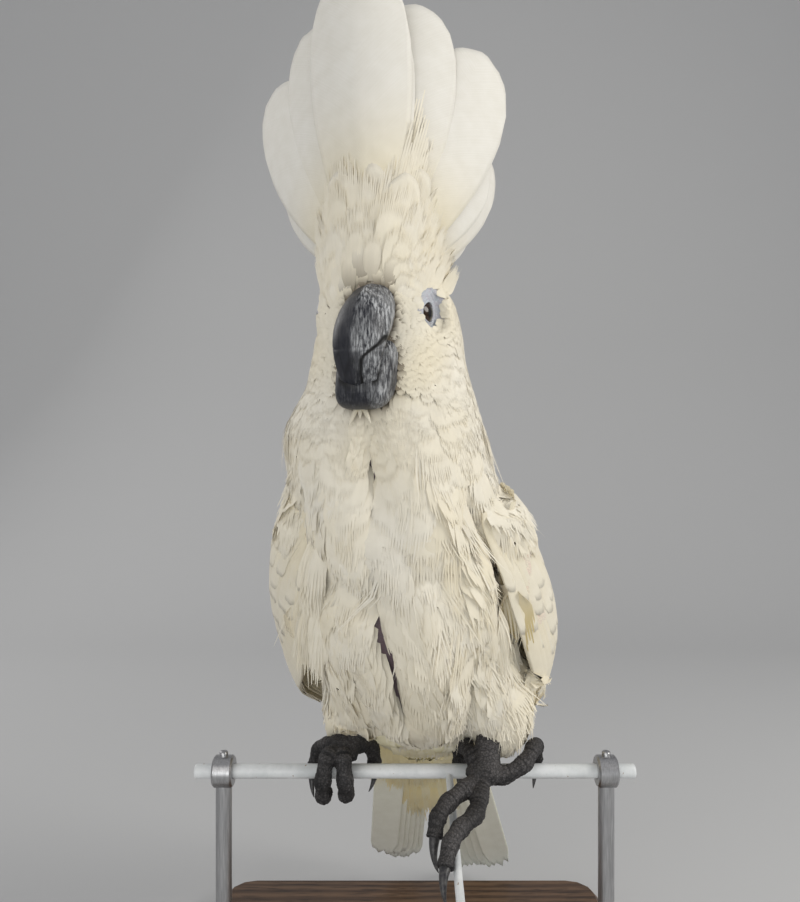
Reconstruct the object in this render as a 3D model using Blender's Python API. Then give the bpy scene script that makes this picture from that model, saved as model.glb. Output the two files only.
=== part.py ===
"""White (umbrella) cockatoo, life-size, crest raised, gripping a cut length of wire rail on a display stand.

Metres, +Z up. The bird faces -Y and its left side is +X. The origin lies on the underside of the stand's
base, straight below the rail's axis. Lengths below are in millimetres, and MM turns them into metres.
"""

import math
from collections import namedtuple

import bmesh
import bpy
from mathutils import Matrix, Vector

MM = 0.001

# ---------------------------------------------------------------- driving dimensions, in millimetres
GAP = 0.3  # clearance kept between neighbouring solids
RAIL_HEIGHT = 130.0  # rail's axis above the table
RAIL_RADIUS = 3.2
RAIL_LENGTH = 198.0
WIRE_RADIUS = 1.65
WIRE_LENGTH = 76.0
WIRE_X = 15.3
WIRE_SLOPE = math.radians(16)  # how far the wire dips as it leaves the rail

BASE_WIDTH, BASE_DEPTH, BASE_THICKNESS = 220.0, 180.0, 12.0
BASE_BACK_SHIFT = 40.0
ROD_RADIUS, ROD_X = 3.6, 86.0
EYELET_RADIUS, EYELET_WIDTH = 7.0, 9.0

HEAD_X, HEAD_Y = -15.3, -41.0
HEAD_TURN = math.radians(13.5)  # the head looks towards the bird's right
EYE_RADIUS = 6.5
EYE_SIDE, EYE_FORWARD, EYE_Z = 16.6, 7.0, 197.0
SOCKET_RADIUS, SOCKET_SIDE = 8.5, 23.5  # the hollow round each eye, and its middle's distance from the head's

CULMEN_FORWARD, CULMEN_Z, CULMEN_RADIUS = 19.0, 185.0, 21.0
BILL_LEAN, BILL_UPRIGHT_Z = 0.075, 164.0  # sideways for each millimetre above the height with no lean

CREST_ROOT_Z = 221.0

WING_LENGTH = 262.0
WRIST_Y, WRIST_Z = -27.0, 124.0

TAIL_ROOT = Vector((6.0, 46.0, 2.0))
TAIL_PITCH = math.radians(40)  # measured from straight down
TAIL_SWING = math.radians(-6.0)  # the tail's end lies towards the bird's left
# Each half's edges, measured sideways from the tail's middle line, where it leaves the body and at its end
TailHalf = namedtuple("TailHalf", "feathers length inner_root inner_end outer_root outer_end")
TAIL = {
    "tail_right": TailHalf(3, 144.0, -0.5, -15.0, -20.0, -38.0),
    "tail_left": TailHalf(3, 163.0, 0.5, 7.0, 20.0, 44.0),
}

TOE_RADIUS = 3.9
CLAW_LENGTH = 14.0

# ---------------------------------------------------------------- body sections, from the vent to the crown
# Each row is a cross-section of the plumage: its centre, half width, reach in front and behind, forward dip of
# its plane in degrees, turn to the bird's right in degrees, how much its front narrows, and how far its back
# stands to the bird's left of its front, as the nape does behind a turned head.
Section = namedtuple("Section", "z y x half front back dip turn narrow sway")
BODY = [
    Section(-3, 56, 6.0, 10, 8, 9, 58, 0, 0.0, 0),
    Section(6, 48, 5.5, 23, 18, 19, 48, 0, 0.0, 0),
    Section(22, 35, 4.5, 37, 30, 32, 38, 0, 0.0, 0),
    Section(45, 19, 3.0, 46, 44, 40, 29, 0, 0.0, 0),
    Section(72, 6, -3.5, 45, 51, 42, 24, 0, 0.0, 0),
    Section(99, -5, -6.0, 44.5, 49, 42, 22, 0, 0.0, 0),
    Section(123, -14, -8.5, 44, 42, 37, 19, 0, 0.0, 0),
    Section(140, -21, -11.5, 43.5, 35, 34, 14, 2, 0.0, 2),
    Section(155, -28, -14.5, 40.5, 30, 34, 8, 6, 0.05, 4),
    Section(169, -34, -13.5, 33.5, 26, 35, 3, 10, 0.10, 7),
    Section(182, -38, -15, 29.5, 23.5, 35, 0, 13, 0.17, 10),
    Section(196, -41, -15.3, 27.0, 22.5, 35, 0, 13.5, 0.20, 11),
    Section(206, -41, -15.3, 25.0, 22.5, 32, 0, 13.5, 0.14, 8),
    Section(214, -40, -16.0, 22.8, 21.0, 28, 0, 13.5, 0.05, 2),
    Section(222, -39, -16, 18.5, 17.0, 22, 0, 13.5, 0.0, 0),
    Section(228, -38.5, -16, 6.0, 6.0, 7.0, 0, 13.5, 0.0, 0),
]
NECK_FROM, HEAD_FROM = 7.0, 9.0  # positions along BODY where the neck and the head begin

# ---------------------------------------------------------------- folded wing, from the wrist to the tip
# along: share of the wing's length; low, high: reach of the vane below and above the wing's axis;
# out: how far the widest part stands from the body's middle; top, edge: the same at the upper edge and at the
# lower edge, which curls inwards round the breast.
WingRow = namedtuple("WingRow", "along low high out top edge")
WING = [
    WingRow(0.00, 14, 14, 47, 36, 32),
    WingRow(0.08, 24, 27, 57, 29, 40),
    WingRow(0.20, 31, 35, 64.5, 18, 47),
    WingRow(0.32, 30, 36, 66, 12, 53),
    WingRow(0.42, 22, 30, 62.5, 9, 56),
    WingRow(0.50, 16, 24, 48, 7, 46),
    WingRow(0.62, 13, 18, 38, 6, 37),
    WingRow(0.80, 9, 12, 25, 6, 24.5),
    WingRow(1.00, 4, 4, 14, 8, 14),
]
WING_PITCH = {"left": math.radians(37), "right": math.radians(41)}  # from straight down, towards the tail
COVERT_END = 0.44  # where the coverts give way to bare flight feathers

# ---------------------------------------------------------------- crest plumes, in rows from brow to nape
# side: how far the plumes lean to each side; back: how far they lean back; turn: how far their faces turn
# outwards; forward, offset: the root's place on the crown, ahead of its middle and to the side.
PlumeRow = namedtuple("PlumeRow", "side back turn length width forward offset")
CREST = [
    PlumeRow(0, 2, 0, 128, 43, 14, 0),
    PlumeRow(12, 6, 14, 113, 43, 10, 3),
    PlumeRow(27, 12, 28, 101, 45, 5, 7),
    PlumeRow(45, 17, 38, 64, 38, -1, 6),
    PlumeRow(14, 27, 34, 108, 42, -6, 5),
    PlumeRow(32, 35, 54, 84, 38, -10, 7),
    PlumeRow(0, 46, 0, 108, 42, -12, 0),
]
CREST_LEAN = math.radians(-6)  # the whole fan leans towards the bird's right
CREST_CAP = (25.5, 22.5, 24.0)  # half width, half depth and half height of the cap that the plumes grow from

# ---------------------------------------------------------------- feet: each toe's joints, from the sole out
# Millimetres from the rail's axis. Toes 2 and 3 point forward, 1 and 4 back.
SOLE = {"right": Vector((-33, -1.5, 9.8)), "left": Vector((29.5, -12.5, 2.5))}
TOES = {
    "right": {
        1: [(-25.5, 3.5, 10.6), (-20, 8.4, 7.6), (-18.5, 10, -0.5)],
        2: [(-31.8, -8.6, 8.8), (-30.8, -9.9, -0.6), (-30.6, -5.8, -8), (-30.6, 1, -9.2)],
        3: [(-38.3, -8.8, 9.4), (-40.4, -10.4, -0.4), (-40.6, -6.4, -8.4), (-40.4, 0.8, -9.8)],
        4: [(-39, 4.5, 10.2), (-44, 9.2, 6), (-46.5, 9.8, -2.4)],
    },
    "left": {
        1: [(25.5, -7.5, 9), (22.6, 0.5, 11), (21, 8.2, 6.8), (20.6, 9.8, -1)],
        2: [(21, -20.5, 0.4), (13.2, -29.5, -1.4), (8.6, -36.5, -4.4), (7, -41, -10.4)],
        3: [(26.6, -24, -1.8), (24, -33, -4.6), (17.4, -41.5, -6.4), (13, -49, -8.8), (10.4, -56, -14.6)],
        4: [(38.5, -12, 3), (47.5, -9.2, 6.8), (53, -2, 11), (55.6, 6.8, 8.6), (56, 10.2, 1)],
    },
}
LEG_TOP = {"right": Vector((-19, 18, 48)), "left": Vector((30, 17, 52))}
LEG_END = {"right": Vector((-29, 7, 13)), "left": Vector((43, 2, 9))}
ANKLE = {"right": Vector((-25.5, 6.5, 20)), "left": Vector((33.5, -4, 20))}

RING_SIDES = 22
SIDE_SIGN = {"left": 1, "right": -1}


# ---------------------------------------------------------------- materials
def material(name, colour, roughness, metallic=0.0):
    """A Principled material of one colour."""
    made = bpy.data.materials.new(name)
    made.use_nodes = True
    shader = made.node_tree.nodes["Principled BSDF"]
    shader.inputs["Base Color"].default_value = (*colour, 1)
    shader.inputs["Roughness"].default_value = roughness
    shader.inputs["Metallic"].default_value = metallic
    return made


def palette():
    """The object's materials by name."""
    return {
        "plumage": material("plumage", (0.87, 0.84, 0.76), 0.85),
        "bill": material("bill", (0.06, 0.06, 0.07), 0.45),
        "foot_skin": material("foot_skin", (0.07, 0.07, 0.08), 0.8),
        "claw": material("claw", (0.03, 0.03, 0.035), 0.4),
        "eye": material("eye", (0.02, 0.013, 0.01), 0.08),
        "white_enamel": material("white_enamel", (0.8, 0.82, 0.82), 0.35),
        "stand_metal": material("stand_metal", (0.45, 0.45, 0.46), 0.35, 1.0),
        "stand_wood": material("stand_wood", (0.12, 0.07, 0.04), 0.5),
    }


# ---------------------------------------------------------------- mesh helpers
def to_world(point):
    """Millimetres from the rail's axis to metres above the table."""
    return Vector((point[0], point[1], point[2] + RAIL_HEIGHT)) * MM


def mesh_object(name, points, faces, skin):
    """A smooth-shaded object from points in millimetres about the rail, with its faces turned outwards."""
    mesh = bpy.data.meshes.new(name)
    mesh.from_pydata([to_world(p) for p in points], [], faces)
    work = bmesh.new()
    work.from_mesh(mesh)
    bmesh.ops.recalc_face_normals(work, faces=work.faces)
    work.to_mesh(mesh)
    work.free()
    mesh.shade_smooth()
    mesh.set_sharp_from_angle(angle=math.radians(50))
    made = bpy.data.objects.new(name, mesh)
    bpy.context.scene.collection.objects.link(made)
    mesh.materials.append(skin)
    return made


def lofted(name, rings, skin):
    """One closed body through rings of equal size, with a flat cap at each end."""
    sides = len(rings[0])
    points = [p for ring in rings for p in ring]
    faces = []
    for i in range(len(rings) - 1):
        for j in range(sides):
            near, far = i * sides, (i + 1) * sides
            k = (j + 1) % sides
            faces.append((near + j, near + k, far + k, far + j))
    last = (len(rings) - 1) * sides
    faces.append(tuple(range(sides)))
    faces.append(tuple(range(last, last + sides)))
    return mesh_object(name, points, faces, skin)


def plate(name, outer, inner, skin):
    """A closed shell between two grids of points of the same size."""
    rows, columns = len(outer), len(outer[0])
    points = [p for row in outer for p in row] + [p for row in inner for p in row]
    shift = rows * columns

    def at(i, j):
        return i * columns + j

    faces = []
    for i in range(rows - 1):
        for j in range(columns - 1):
            square = (at(i, j), at(i, j + 1), at(i + 1, j + 1), at(i + 1, j))
            faces.append(square)
            faces.append(tuple(shift + k for k in reversed(square)))
    rim = [at(0, j) for j in range(columns)]
    rim += [at(i, columns - 1) for i in range(1, rows)]
    rim += [at(rows - 1, j) for j in range(columns - 2, -1, -1)]
    rim += [at(i, 0) for i in range(rows - 2, 0, -1)]
    for a, b in zip(rim, rim[1:] + rim[:1]):
        faces.append((a, shift + a, shift + b, b))
    return mesh_object(name, points, faces, skin)


def helper_copy(original, gap=GAP):
    """A hidden copy of an object, grown by the gap, for cutting its neighbours."""
    graph = bpy.context.evaluated_depsgraph_get()
    mesh = bpy.data.meshes.new_from_object(original.evaluated_get(graph))
    grown = [v.co + v.normal * gap * MM for v in mesh.vertices]
    for vertex, place in zip(mesh.vertices, grown):
        vertex.co = place
    made = bpy.data.objects.new(original.name + "_cutter", mesh)
    bpy.context.scene.collection.objects.link(made)
    hide_helper(made)
    return made


def hide_helper(helper):
    helper.hide_render = True
    helper.display_type = "WIRE"


def boolean(target, helper, operation):
    step = target.modifiers.new(f"{operation}_{helper.name}", "BOOLEAN")
    step.operation = operation
    step.solver = "EXACT"
    step.object = helper


def cut(target, *others, gap=GAP):
    """Cuts other solids, grown by the gap, out of the target."""
    for other in others:
        boolean(target, helper_copy(other, gap), "DIFFERENCE")


def join_solids(target, others):
    """Unites overlapping solids with the target into one body."""
    for other in others:
        hide_helper(other)
        boolean(target, other, "UNION")


# ---------------------------------------------------------------- curves through named rows
def between(rows, place):
    """A row of numbers at a place along the rows, on a Catmull-Rom curve."""
    i = min(int(place), len(rows) - 2)
    t = place - i
    p = [rows[max(0, min(len(rows) - 1, i + k))] for k in (-1, 0, 1, 2)]
    found = []
    for a, b, c, d in zip(*p):
        slope_b, slope_c = (c - a) / 2, (d - b) / 2
        found.append(
            b * (2 * t**3 - 3 * t**2 + 1)
            + slope_b * (t**3 - 2 * t**2 + t)
            + c * (3 * t**2 - 2 * t**3)
            + slope_c * (t**3 - t**2)
        )
    return type(rows[0])(*found) if hasattr(rows[0], "_fields") else found


def steps(start, end, count):
    """Evenly spaced numbers from start to end."""
    return [start + (end - start) * i / (count - 1) for i in range(count)]


def eased(low, high, share):
    """A smooth step from low to high."""
    share = max(0.0, min(1.0, share))
    return low + (high - low) * share * share * (3 - 2 * share)


# ---------------------------------------------------------------- trunk, neck and head
def body_ring(place, sides=RING_SIDES):
    """The plumage's outline in a plane across the body."""
    s = between(BODY, place)
    turned = Matrix.Rotation(-math.radians(s.turn), 3, "Z") @ Matrix.Rotation(math.radians(s.dip), 3, "X")
    ring = []
    for k in range(sides):
        angle = 2 * math.pi * k / sides
        side, rear = math.cos(angle), math.sin(angle)
        reach = s.front if rear < 0 else s.back
        across = s.half * math.copysign(abs(side) ** 0.85, side) * (1 - s.narrow * max(0.0, -rear))
        across += s.sway * ((1 + rear) / 2) ** 2
        local = Vector((across, reach * rear, 0))
        ring.append(turned @ local + Vector((s.x, s.y, s.z)))
    return ring


def body_part(name, start, end, count, skin, gap_at_start, gap_at_end):
    """A length of the body, drawn back by half the gap where it meets its neighbour."""
    shrink = GAP / 2 / 14  # sections lie about 14 mm apart
    start += shrink if gap_at_start else 0
    end -= shrink if gap_at_end else 0
    rings = [body_ring(place) for place in steps(start, end, count)]
    return lofted(name, rings, skin)


def head_point(side, forward, z):
    """A point given from the head's middle: side is to the bird's left, z is from the rail."""
    s, c = math.sin(HEAD_TURN), math.cos(HEAD_TURN)
    return Vector((HEAD_X + side * c - forward * s, HEAD_Y - side * s - forward * c, z))


def ball(name, centre, radius, skin, sides=12, rings=7):
    """A sphere made of rings, with small flat poles."""
    rows = []
    for i in range(rings):
        tilt = math.pi * (i + 0.35) / (rings - 0.3)
        flat, height = radius * math.sin(tilt), radius * math.cos(tilt)
        rows.append(
            [
                centre + Vector((flat * math.cos(a), flat * math.sin(a), height))
                for a in steps(0, 2 * math.pi * (1 - 1 / sides), sides)
            ]
        )
    return lofted(name, rows, skin)


# ---------------------------------------------------------------- bill
# angle: place on the culmen's arc, from the brow down to the tip; half: half width; depth: towards the palate
BillRow = namedtuple("BillRow", "angle half depth")
UPPER_BILL = [
    BillRow(88, 9.0, 19),
    BillRow(62, 10.0, 19.5),
    BillRow(36, 10.3, 19.5),
    BillRow(12, 10.3, 18),
    BillRow(-12, 9.3, 14.5),
    BillRow(-31, 7.6, 10.5),
    BillRow(-46, 6.2, 7.2),
    BillRow(-57, 5.2, 3.8),
]
# forward: from the head's middle; half: half width; top, bottom: heights from the rail
LowerRow = namedtuple("LowerRow", "forward half top bottom")
LOWER_BILL = [
    LowerRow(10, 10.2, 188, 165),
    LowerRow(17, 11.2, 188, 161),
    LowerRow(22, 10.9, 184, 159.4),
    LowerRow(26, 9.9, 179, 160),
    LowerRow(29, 8.2, 174.5, 162),
    LowerRow(30.8, 5.6, 171, 165),
]


def bill_point(side, forward, z):
    """A point of the bill, whose tip stands a little towards the bird's right of its root."""
    return head_point(side + BILL_LEAN * (z - BILL_UPRIGHT_Z), forward, z)


def upper_bill(skin):
    """The hooked upper mandible: rings across an arc, drawn in to a soft ridge along its front."""
    rings = []
    for place in steps(0, len(UPPER_BILL) - 1, 10):
        row = between(UPPER_BILL, place)
        tilt = math.radians(row.angle)
        ring = []
        for k in range(14):
            angle = 2 * math.pi * k / 14
            ridge = max(0.0, math.sin(angle)) ** 2
            wide = math.copysign(abs(math.cos(angle)) ** 0.75, math.cos(angle))
            side = row.half * wide * (1 - 0.2 * ridge)
            out = CULMEN_RADIUS - row.depth / 2 * (1 - math.sin(angle))
            forward = CULMEN_FORWARD + out * math.cos(tilt)
            ring.append(bill_point(side, forward, CULMEN_Z + out * math.sin(tilt)))
        rings.append(ring)
    return lofted("bill_upper", rings, skin)


def lower_bill(skin):
    """The lower mandible: a deep scoop with a flat top."""
    rings = []
    for place in steps(0, len(LOWER_BILL) - 1, 7):
        row = between(LOWER_BILL, place)
        middle, reach = (row.top + row.bottom) / 2, (row.top - row.bottom) / 2
        ring = []
        for k in range(12):
            angle = 2 * math.pi * k / 12
            lift = math.copysign(abs(math.sin(angle)) ** 0.75, math.sin(angle))
            side = row.half * math.copysign(abs(math.cos(angle)) ** 0.6, math.cos(angle))
            ring.append(bill_point(side, row.forward, middle + reach * lift))
        rings.append(ring)
    return lofted("bill_lower", rings, skin)


# ---------------------------------------------------------------- crest
def plume_share(t):
    """How wide a plume is along its length: narrow at the root and round at the tip."""
    widest = 0.66
    if t <= widest:
        return 0.34 + 0.66 * math.sin(math.pi / 2 * t / widest)
    return math.sqrt(max(0.0, 1 - ((t - widest) / (1 - widest)) ** 2))


def plume(name, row, side, skin):
    """One crest feather as a cupped leaf with a rounded end, its outer face turned forward and outward."""
    lean, back = math.radians(row.side) * side, math.radians(row.back)
    turn = Matrix.Rotation(-HEAD_TURN, 3, "Z")
    swing = turn @ Matrix.Rotation(-back, 3, "X") @ Matrix.Rotation(lean + CREST_LEAN, 3, "Y")
    face = Matrix.Rotation(math.radians(row.turn) * side, 3, "Z")
    root = head_point(side * row.offset, row.forward, CREST_ROOT_Z)
    outer, inner = [], []
    for t in (0.02, 0.2, 0.45, 0.7, 0.88, 0.985):
        half = row.width / 2 * plume_share(t)
        thick = 2.4 * (1 - t) + 1.1
        curl = row.length * 0.16 * t * t  # the tip bends back
        front, rear = [], []
        for w in steps(-1, 1, 5):
            cup = 0.3 * half * w * w
            rim = 1 - 0.5 * w * w
            for line, depth in ((front, -thick * rim / 2), (rear, thick * rim / 2)):
                local = Vector((half * w, depth + cup + curl, row.length * t))
                line.append(swing @ face @ local + root)
        outer.append(front)
        inner.append(rear)
    return plate(name, outer, inner, skin)


def crest(skin):
    """The raised crest: a cap on the crown that every plume grows from, and the plumes."""
    half_width, half_depth, half_height = CREST_CAP
    rings = []
    for degrees in steps(-70, 70, 6):
        tilt = math.radians(degrees)
        flat = math.cos(tilt)
        ring = []
        for k in range(16):
            angle = 2 * math.pi * k / 16
            side, forward = half_width * flat * math.cos(angle), half_depth * flat * math.sin(angle)
            ring.append(head_point(side - 1.5, forward - 5, CREST_ROOT_Z + 8 + half_height * math.sin(tilt)))
        rings.append(ring)
    core = lofted("crest", rings, skin)
    plumes = []
    for number, row in enumerate(CREST):
        for side in (1, -1) if row.side else (1,):
            plumes.append(plume(f"plume_{number}_{side}", row, side, skin))
    join_solids(core, plumes)
    return core


# ---------------------------------------------------------------- wings
def wing_point(side, along, up):
    """A point on the folded wing's outer face. up runs from 0 at the lower edge to 1 at the upper edge."""
    places = [row.along for row in WING]
    index = max(i for i in range(len(places) - 1) if places[i] <= along + 1e-9)
    place = index + (along - places[index]) / (places[index + 1] - places[index])
    row = between(WING, place)
    pitch = WING_PITCH[side]
    down = Vector((0, math.sin(pitch), -math.cos(pitch)))
    rise = Vector((0, math.cos(pitch), math.sin(pitch)))
    height = -row.low + (row.low + row.high) * up
    fold = max(0.0, up - 0.25) / 0.75
    curl = max(0.0, 1 - up / 0.4) ** 2
    x = row.top + (row.out - row.top) * math.cos(math.pi / 2 * fold**1.4) - (row.out - row.edge) * curl
    place = Vector((0, WRIST_Y, WRIST_Z)) + down * (WING_LENGTH * along) + rise * height
    sway = eased(-6, 1.5, along / 0.35) + 6 * max(0.0, along - 0.35)  # the body's own curve to one side
    place.x = SIDE_SIGN[side] * x + sway
    return place


def wing_normal(side, along, up):
    """The outward direction of the wing's face, from nearby points on it."""
    step = 0.01
    a0, a1 = max(0.0, along - step), min(1.0, along + step)
    u0, u1 = max(0.0, up - step), min(1.0, up + step)
    run = wing_point(side, a1, up) - wing_point(side, a0, up)
    rise = wing_point(side, along, u1) - wing_point(side, along, u0)
    normal = run.cross(rise).normalized()
    return normal if normal.x * SIDE_SIGN[side] > 0 else -normal


def scallop(place, count, depth):
    """How far the edge draws in between the tips of a row of feathers."""
    phase = (place * count) % 1.0
    return depth * phase**2


def covert_depth(along, up):
    """Thickness of the covert layer: full over the arm, fading to its lower and rear edges."""
    rear = eased(1, 0, (along - 0.24) / 0.2)
    low = eased(0, 1, up / 0.3)
    return 1.0 + rear * (1.8 + 3.4 * low)


ARM, ACROSS = steps(0.0, COVERT_END, 8), steps(0.0, 1.0, 7)  # where both layers are sampled


def wing_coverts(side, skin):
    """The arm with its coverts: the outer, front part of the folded wing."""
    outer, inner = [], []
    for a in ARM:
        front, rear = [], []
        for u in ACROSS:
            point, normal = wing_point(side, a, u), wing_normal(side, a, u)
            front.append(point)
            rear.append(point - normal * covert_depth(a, u))
        outer.append(front)
        inner.append(rear)
    return plate(f"wing_{side}", outer, inner, skin)


def flight_feathers(side, skin):
    """The folded flight feathers, one layer under the coverts, with each tip showing on the edge."""
    outer, inner = [], []
    for a in ARM[1:] + steps(COVERT_END, 1.0, 14)[1:]:
        front, rear = [], []
        edge = scallop(a, 8, 0.09) if a > COVERT_END else 0.0
        for u in [edge] + ACROSS[1:]:
            point, normal = wing_point(side, a, u), wing_normal(side, a, u)
            top = covert_depth(a, u) + 4 * GAP
            front.append(point - normal * top)
            rear.append(point - normal * (top + 2.4 - 1.4 * a))
        outer.append(front)
        inner.append(rear)
    return plate(f"flight_{side}", outer, inner, skin)


# ---------------------------------------------------------------- tail
def tail_half(name, half, skin):
    """Half of the fanned tail, as one plate with a ridge and a rounded tip for each feather in it."""
    down = Matrix.Rotation(TAIL_SWING, 3, "Y") @ Vector((0, math.sin(TAIL_PITCH), -math.cos(TAIL_PITCH)))
    up = Vector((0, math.cos(TAIL_PITCH), math.sin(TAIL_PITCH)))
    across = down.cross(up).normalized()
    columns = half.feathers * 4
    outer, inner = [], []
    for t in steps(0.0, 1.0, 5):
        front, rear = [], []
        for j in range(columns + 1):
            share = j / columns
            middle = 1 - abs(2 * ((share * half.feathers) % 1.0) - 1)
            near = half.inner_root + (half.inner_end - half.inner_root) * t
            far = half.outer_root + (half.outer_end - half.outer_root) * t
            side = near + (far - near) * share
            tip = 1 - 0.04 * (1 - middle) ** 2 * t**4 - 0.05 * share**2
            vault = -0.0035 * side * side * (1 - 0.5 * t)
            place = TAIL_ROOT + down * (half.length * t * tip) + across * side
            thick = 3.0 - 1.9 * t + 0.5 * middle * (1 - 0.5 * t)
            front.append(place + up * (vault + thick))
            rear.append(place + up * vault)
        outer.append(front)
        inner.append(rear)
    return plate(name, outer, inner, skin)


# ---------------------------------------------------------------- legs and feet
def limb(name, path, radii, sides, skin, flatten=1.0):
    """A tube of changing radius along a path, with flat ends."""
    rings = []
    lengthwise = (path[-1] - path[0]).normalized()
    side = Vector((0, 1, 0)) if abs(lengthwise.x) > 0.9 else Vector((1, 0, 0))
    for i, point in enumerate(path):
        ahead = path[min(i + 1, len(path) - 1)] - path[max(i - 1, 0)]
        ahead.normalize()
        side = (side - ahead * side.dot(ahead)).normalized()
        other = ahead.cross(side)
        ring = []
        for k in range(sides):
            angle = 2 * math.pi * k / sides
            ring.append(point + (side * math.cos(angle) + other * math.sin(angle) * flatten) * radii[i])
        rings.append(ring)
    return lofted(name, rings, skin)


def smooth_path(joints, per_bone):
    """Points on a smooth curve through a toe's joints."""
    rows = [tuple(p) for p in joints]
    return [Vector(between(rows, place)) for place in steps(0, len(rows) - 1, per_bone * (len(rows) - 1) + 1)]


def toe_radius(share, bones):
    """Swells at each pad and thins towards the tip."""
    return TOE_RADIUS * (1 - 0.15 * share) * (1 + 0.07 * math.cos(2 * math.pi * share * bones))


def leg(side, skin):
    """The feathered leg, whose plumage hangs over the ankle."""
    top, end = LEG_TOP[side], LEG_END[side]
    path = [top.lerp(end, t) for t in steps(0, 1, 7)]
    radii = [18, 20, 20.5, 19, 16.4, 12.6, 6.5]
    return limb(f"leg_{side}", path, radii, 14, skin)


def foot(side, skin):
    """The scaled foot, from the ankle to the toes' ends, in one piece."""
    ankle, sole = ANKLE[side], SOLE[side]
    along = (sole - ankle).normalized()
    path = [ankle + along * GAP, ankle.lerp(sole, 0.45), ankle.lerp(sole, 0.8), sole, sole + along * 2.6]
    shank = limb(f"foot_{side}", path, [5.8, 5.8, 7.2, 8.0, 5.4], 8, skin, flatten=0.75)
    toes = []
    for number, joints in TOES[side].items():
        line = smooth_path([sole] + [Vector(p) for p in joints], 2)
        radii = [toe_radius(i / (len(line) - 1), len(joints)) for i in range(len(line))]
        toes.append(limb(f"toe_{side}_{number}", line, radii, 6, skin))
    join_solids(shank, toes)
    return shank


def claw(side, number, skin):
    """A curved claw that carries on the last bend of its toe."""
    line = smooth_path([SOLE[side]] + [Vector(p) for p in TOES[side][number]], 2)
    heading = (line[-1] - line[-2]).normalized()
    bend = (line[-1] - line[-2]).cross(line[-2] - line[-4])
    axis = -bend.normalized() if bend.length > 1e-3 else Vector((1, 0, 0))
    path, radii = [line[-1] + heading * GAP], [2.3]
    for i in range(1, 5):
        path.append(path[-1] + heading * (CLAW_LENGTH / 4))
        radii.append(2.3 * (1 - i / 4.4))
        heading = Matrix.Rotation(math.radians(18), 3, axis) @ heading
    return limb(f"claw_{side}_{number}", path, radii, 6, skin)


# ---------------------------------------------------------------- perch and stand
def bar(name, start, end, radius, skin, sides=12):
    return limb(name, [Vector(start), Vector(end)], [radius, radius], sides, skin)


def perch(skin):
    """The cut length of rail and the one wire that the bird's left foot holds."""
    rail = bar("perch_rail", (-RAIL_LENGTH / 2, 0, 0), (RAIL_LENGTH / 2, 0, 0), RAIL_RADIUS, skin)
    down = Vector((0, -math.cos(WIRE_SLOPE), -math.sin(WIRE_SLOPE)))
    root = Vector((WIRE_X, 0, -0.8))
    wire = bar("perch_wire", root, root + down * WIRE_LENGTH, WIRE_RADIUS, skin, sides=10)
    cut(wire, rail)
    return rail, wire


def rounded_slab(name, width, depth, low, high, centre_y, corner, skin):
    """A flat block with rounded corners, standing on its own underside."""
    rings = []
    for z, inset in ((low, 1.2), (low + 1.2, 0.0), (high - 2.0, 0.0), (high, 2.0)):
        ring = []
        for quarter, (sx, sy) in enumerate(((1, 1), (-1, 1), (-1, -1), (1, -1))):
            for k in range(4):
                angle = math.pi / 2 * (quarter + k / 3)
                radius = corner - inset
                x = sx * (width / 2 - corner) + radius * math.cos(angle)
                y = centre_y + sy * (depth / 2 - corner) + radius * math.sin(angle)
                ring.append(Vector((x, y, z)))
        rings.append(ring)
    return lofted(name, rings, skin)


def stand(rail, skins):
    """A flat base and two rods, each ending in an eyelet round the rail."""
    low, high = -RAIL_HEIGHT, BASE_THICKNESS - RAIL_HEIGHT
    rounded_slab("stand_base", BASE_WIDTH, BASE_DEPTH, low, high, BASE_BACK_SHIFT, 16, skins["stand_wood"])
    for side, sign in SIDE_SIGN.items():
        x = sign * ROD_X
        rod = bar(f"stand_rod_{side}", (x, 0, high + GAP), (x, 0, 0), ROD_RADIUS, skins["stand_metal"])
        half = EYELET_WIDTH / 2
        eyelet = bar(f"eyelet_{side}", (x - half, 0, 0), (x + half, 0, 0), EYELET_RADIUS, skins["stand_metal"])
        join_solids(rod, [eyelet])
        cut(rod, rail)


# ---------------------------------------------------------------- the whole object
def clear_scene():
    for old in list(bpy.data.objects):
        bpy.data.objects.remove(old)


def main():
    clear_scene()
    skins = palette()
    white = skins["plumage"]

    rail, wire = perch(skins["white_enamel"])
    stand(rail, skins)

    trunk = body_part("trunk", 0.0, NECK_FROM, 13, white, False, True)
    neck = body_part("neck", NECK_FROM, HEAD_FROM, 5, white, True, True)
    head = body_part("head", HEAD_FROM, len(BODY) - 1, 8, white, True, False)

    for side, sign in SIDE_SIGN.items():
        middle = head_point(sign * SOCKET_SIDE, EYE_FORWARD, EYE_Z)
        hollow = ball(f"socket_{side}", middle, SOCKET_RADIUS, white, 9, 5)
        hide_helper(hollow)
        boolean(head, hollow, "DIFFERENCE")
        eye = ball(f"eye_{side}", head_point(sign * EYE_SIDE, EYE_FORWARD, EYE_Z), EYE_RADIUS, skins["eye"])
        cut(head, eye)

    upper, lower = upper_bill(skins["bill"]), lower_bill(skins["bill"])
    cut(lower, upper)
    for bill in (upper, lower):
        cut(bill, head, neck)

    cut(crest(white), head)

    for side in SIDE_SIGN:
        coverts = wing_coverts(side, white)
        flight = flight_feathers(side, white)
        cut(coverts, trunk, neck)
        cut(flight, trunk)
        shank = foot(side, skins["foot_skin"])
        cut(shank, trunk)
        cut(leg(side, white), trunk, shank, flight)
        for number in TOES[side]:
            claw(side, number, skins["claw"])

    for name, half in TAIL.items():
        cut(tail_half(name, half, white), trunk)


main()
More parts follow.
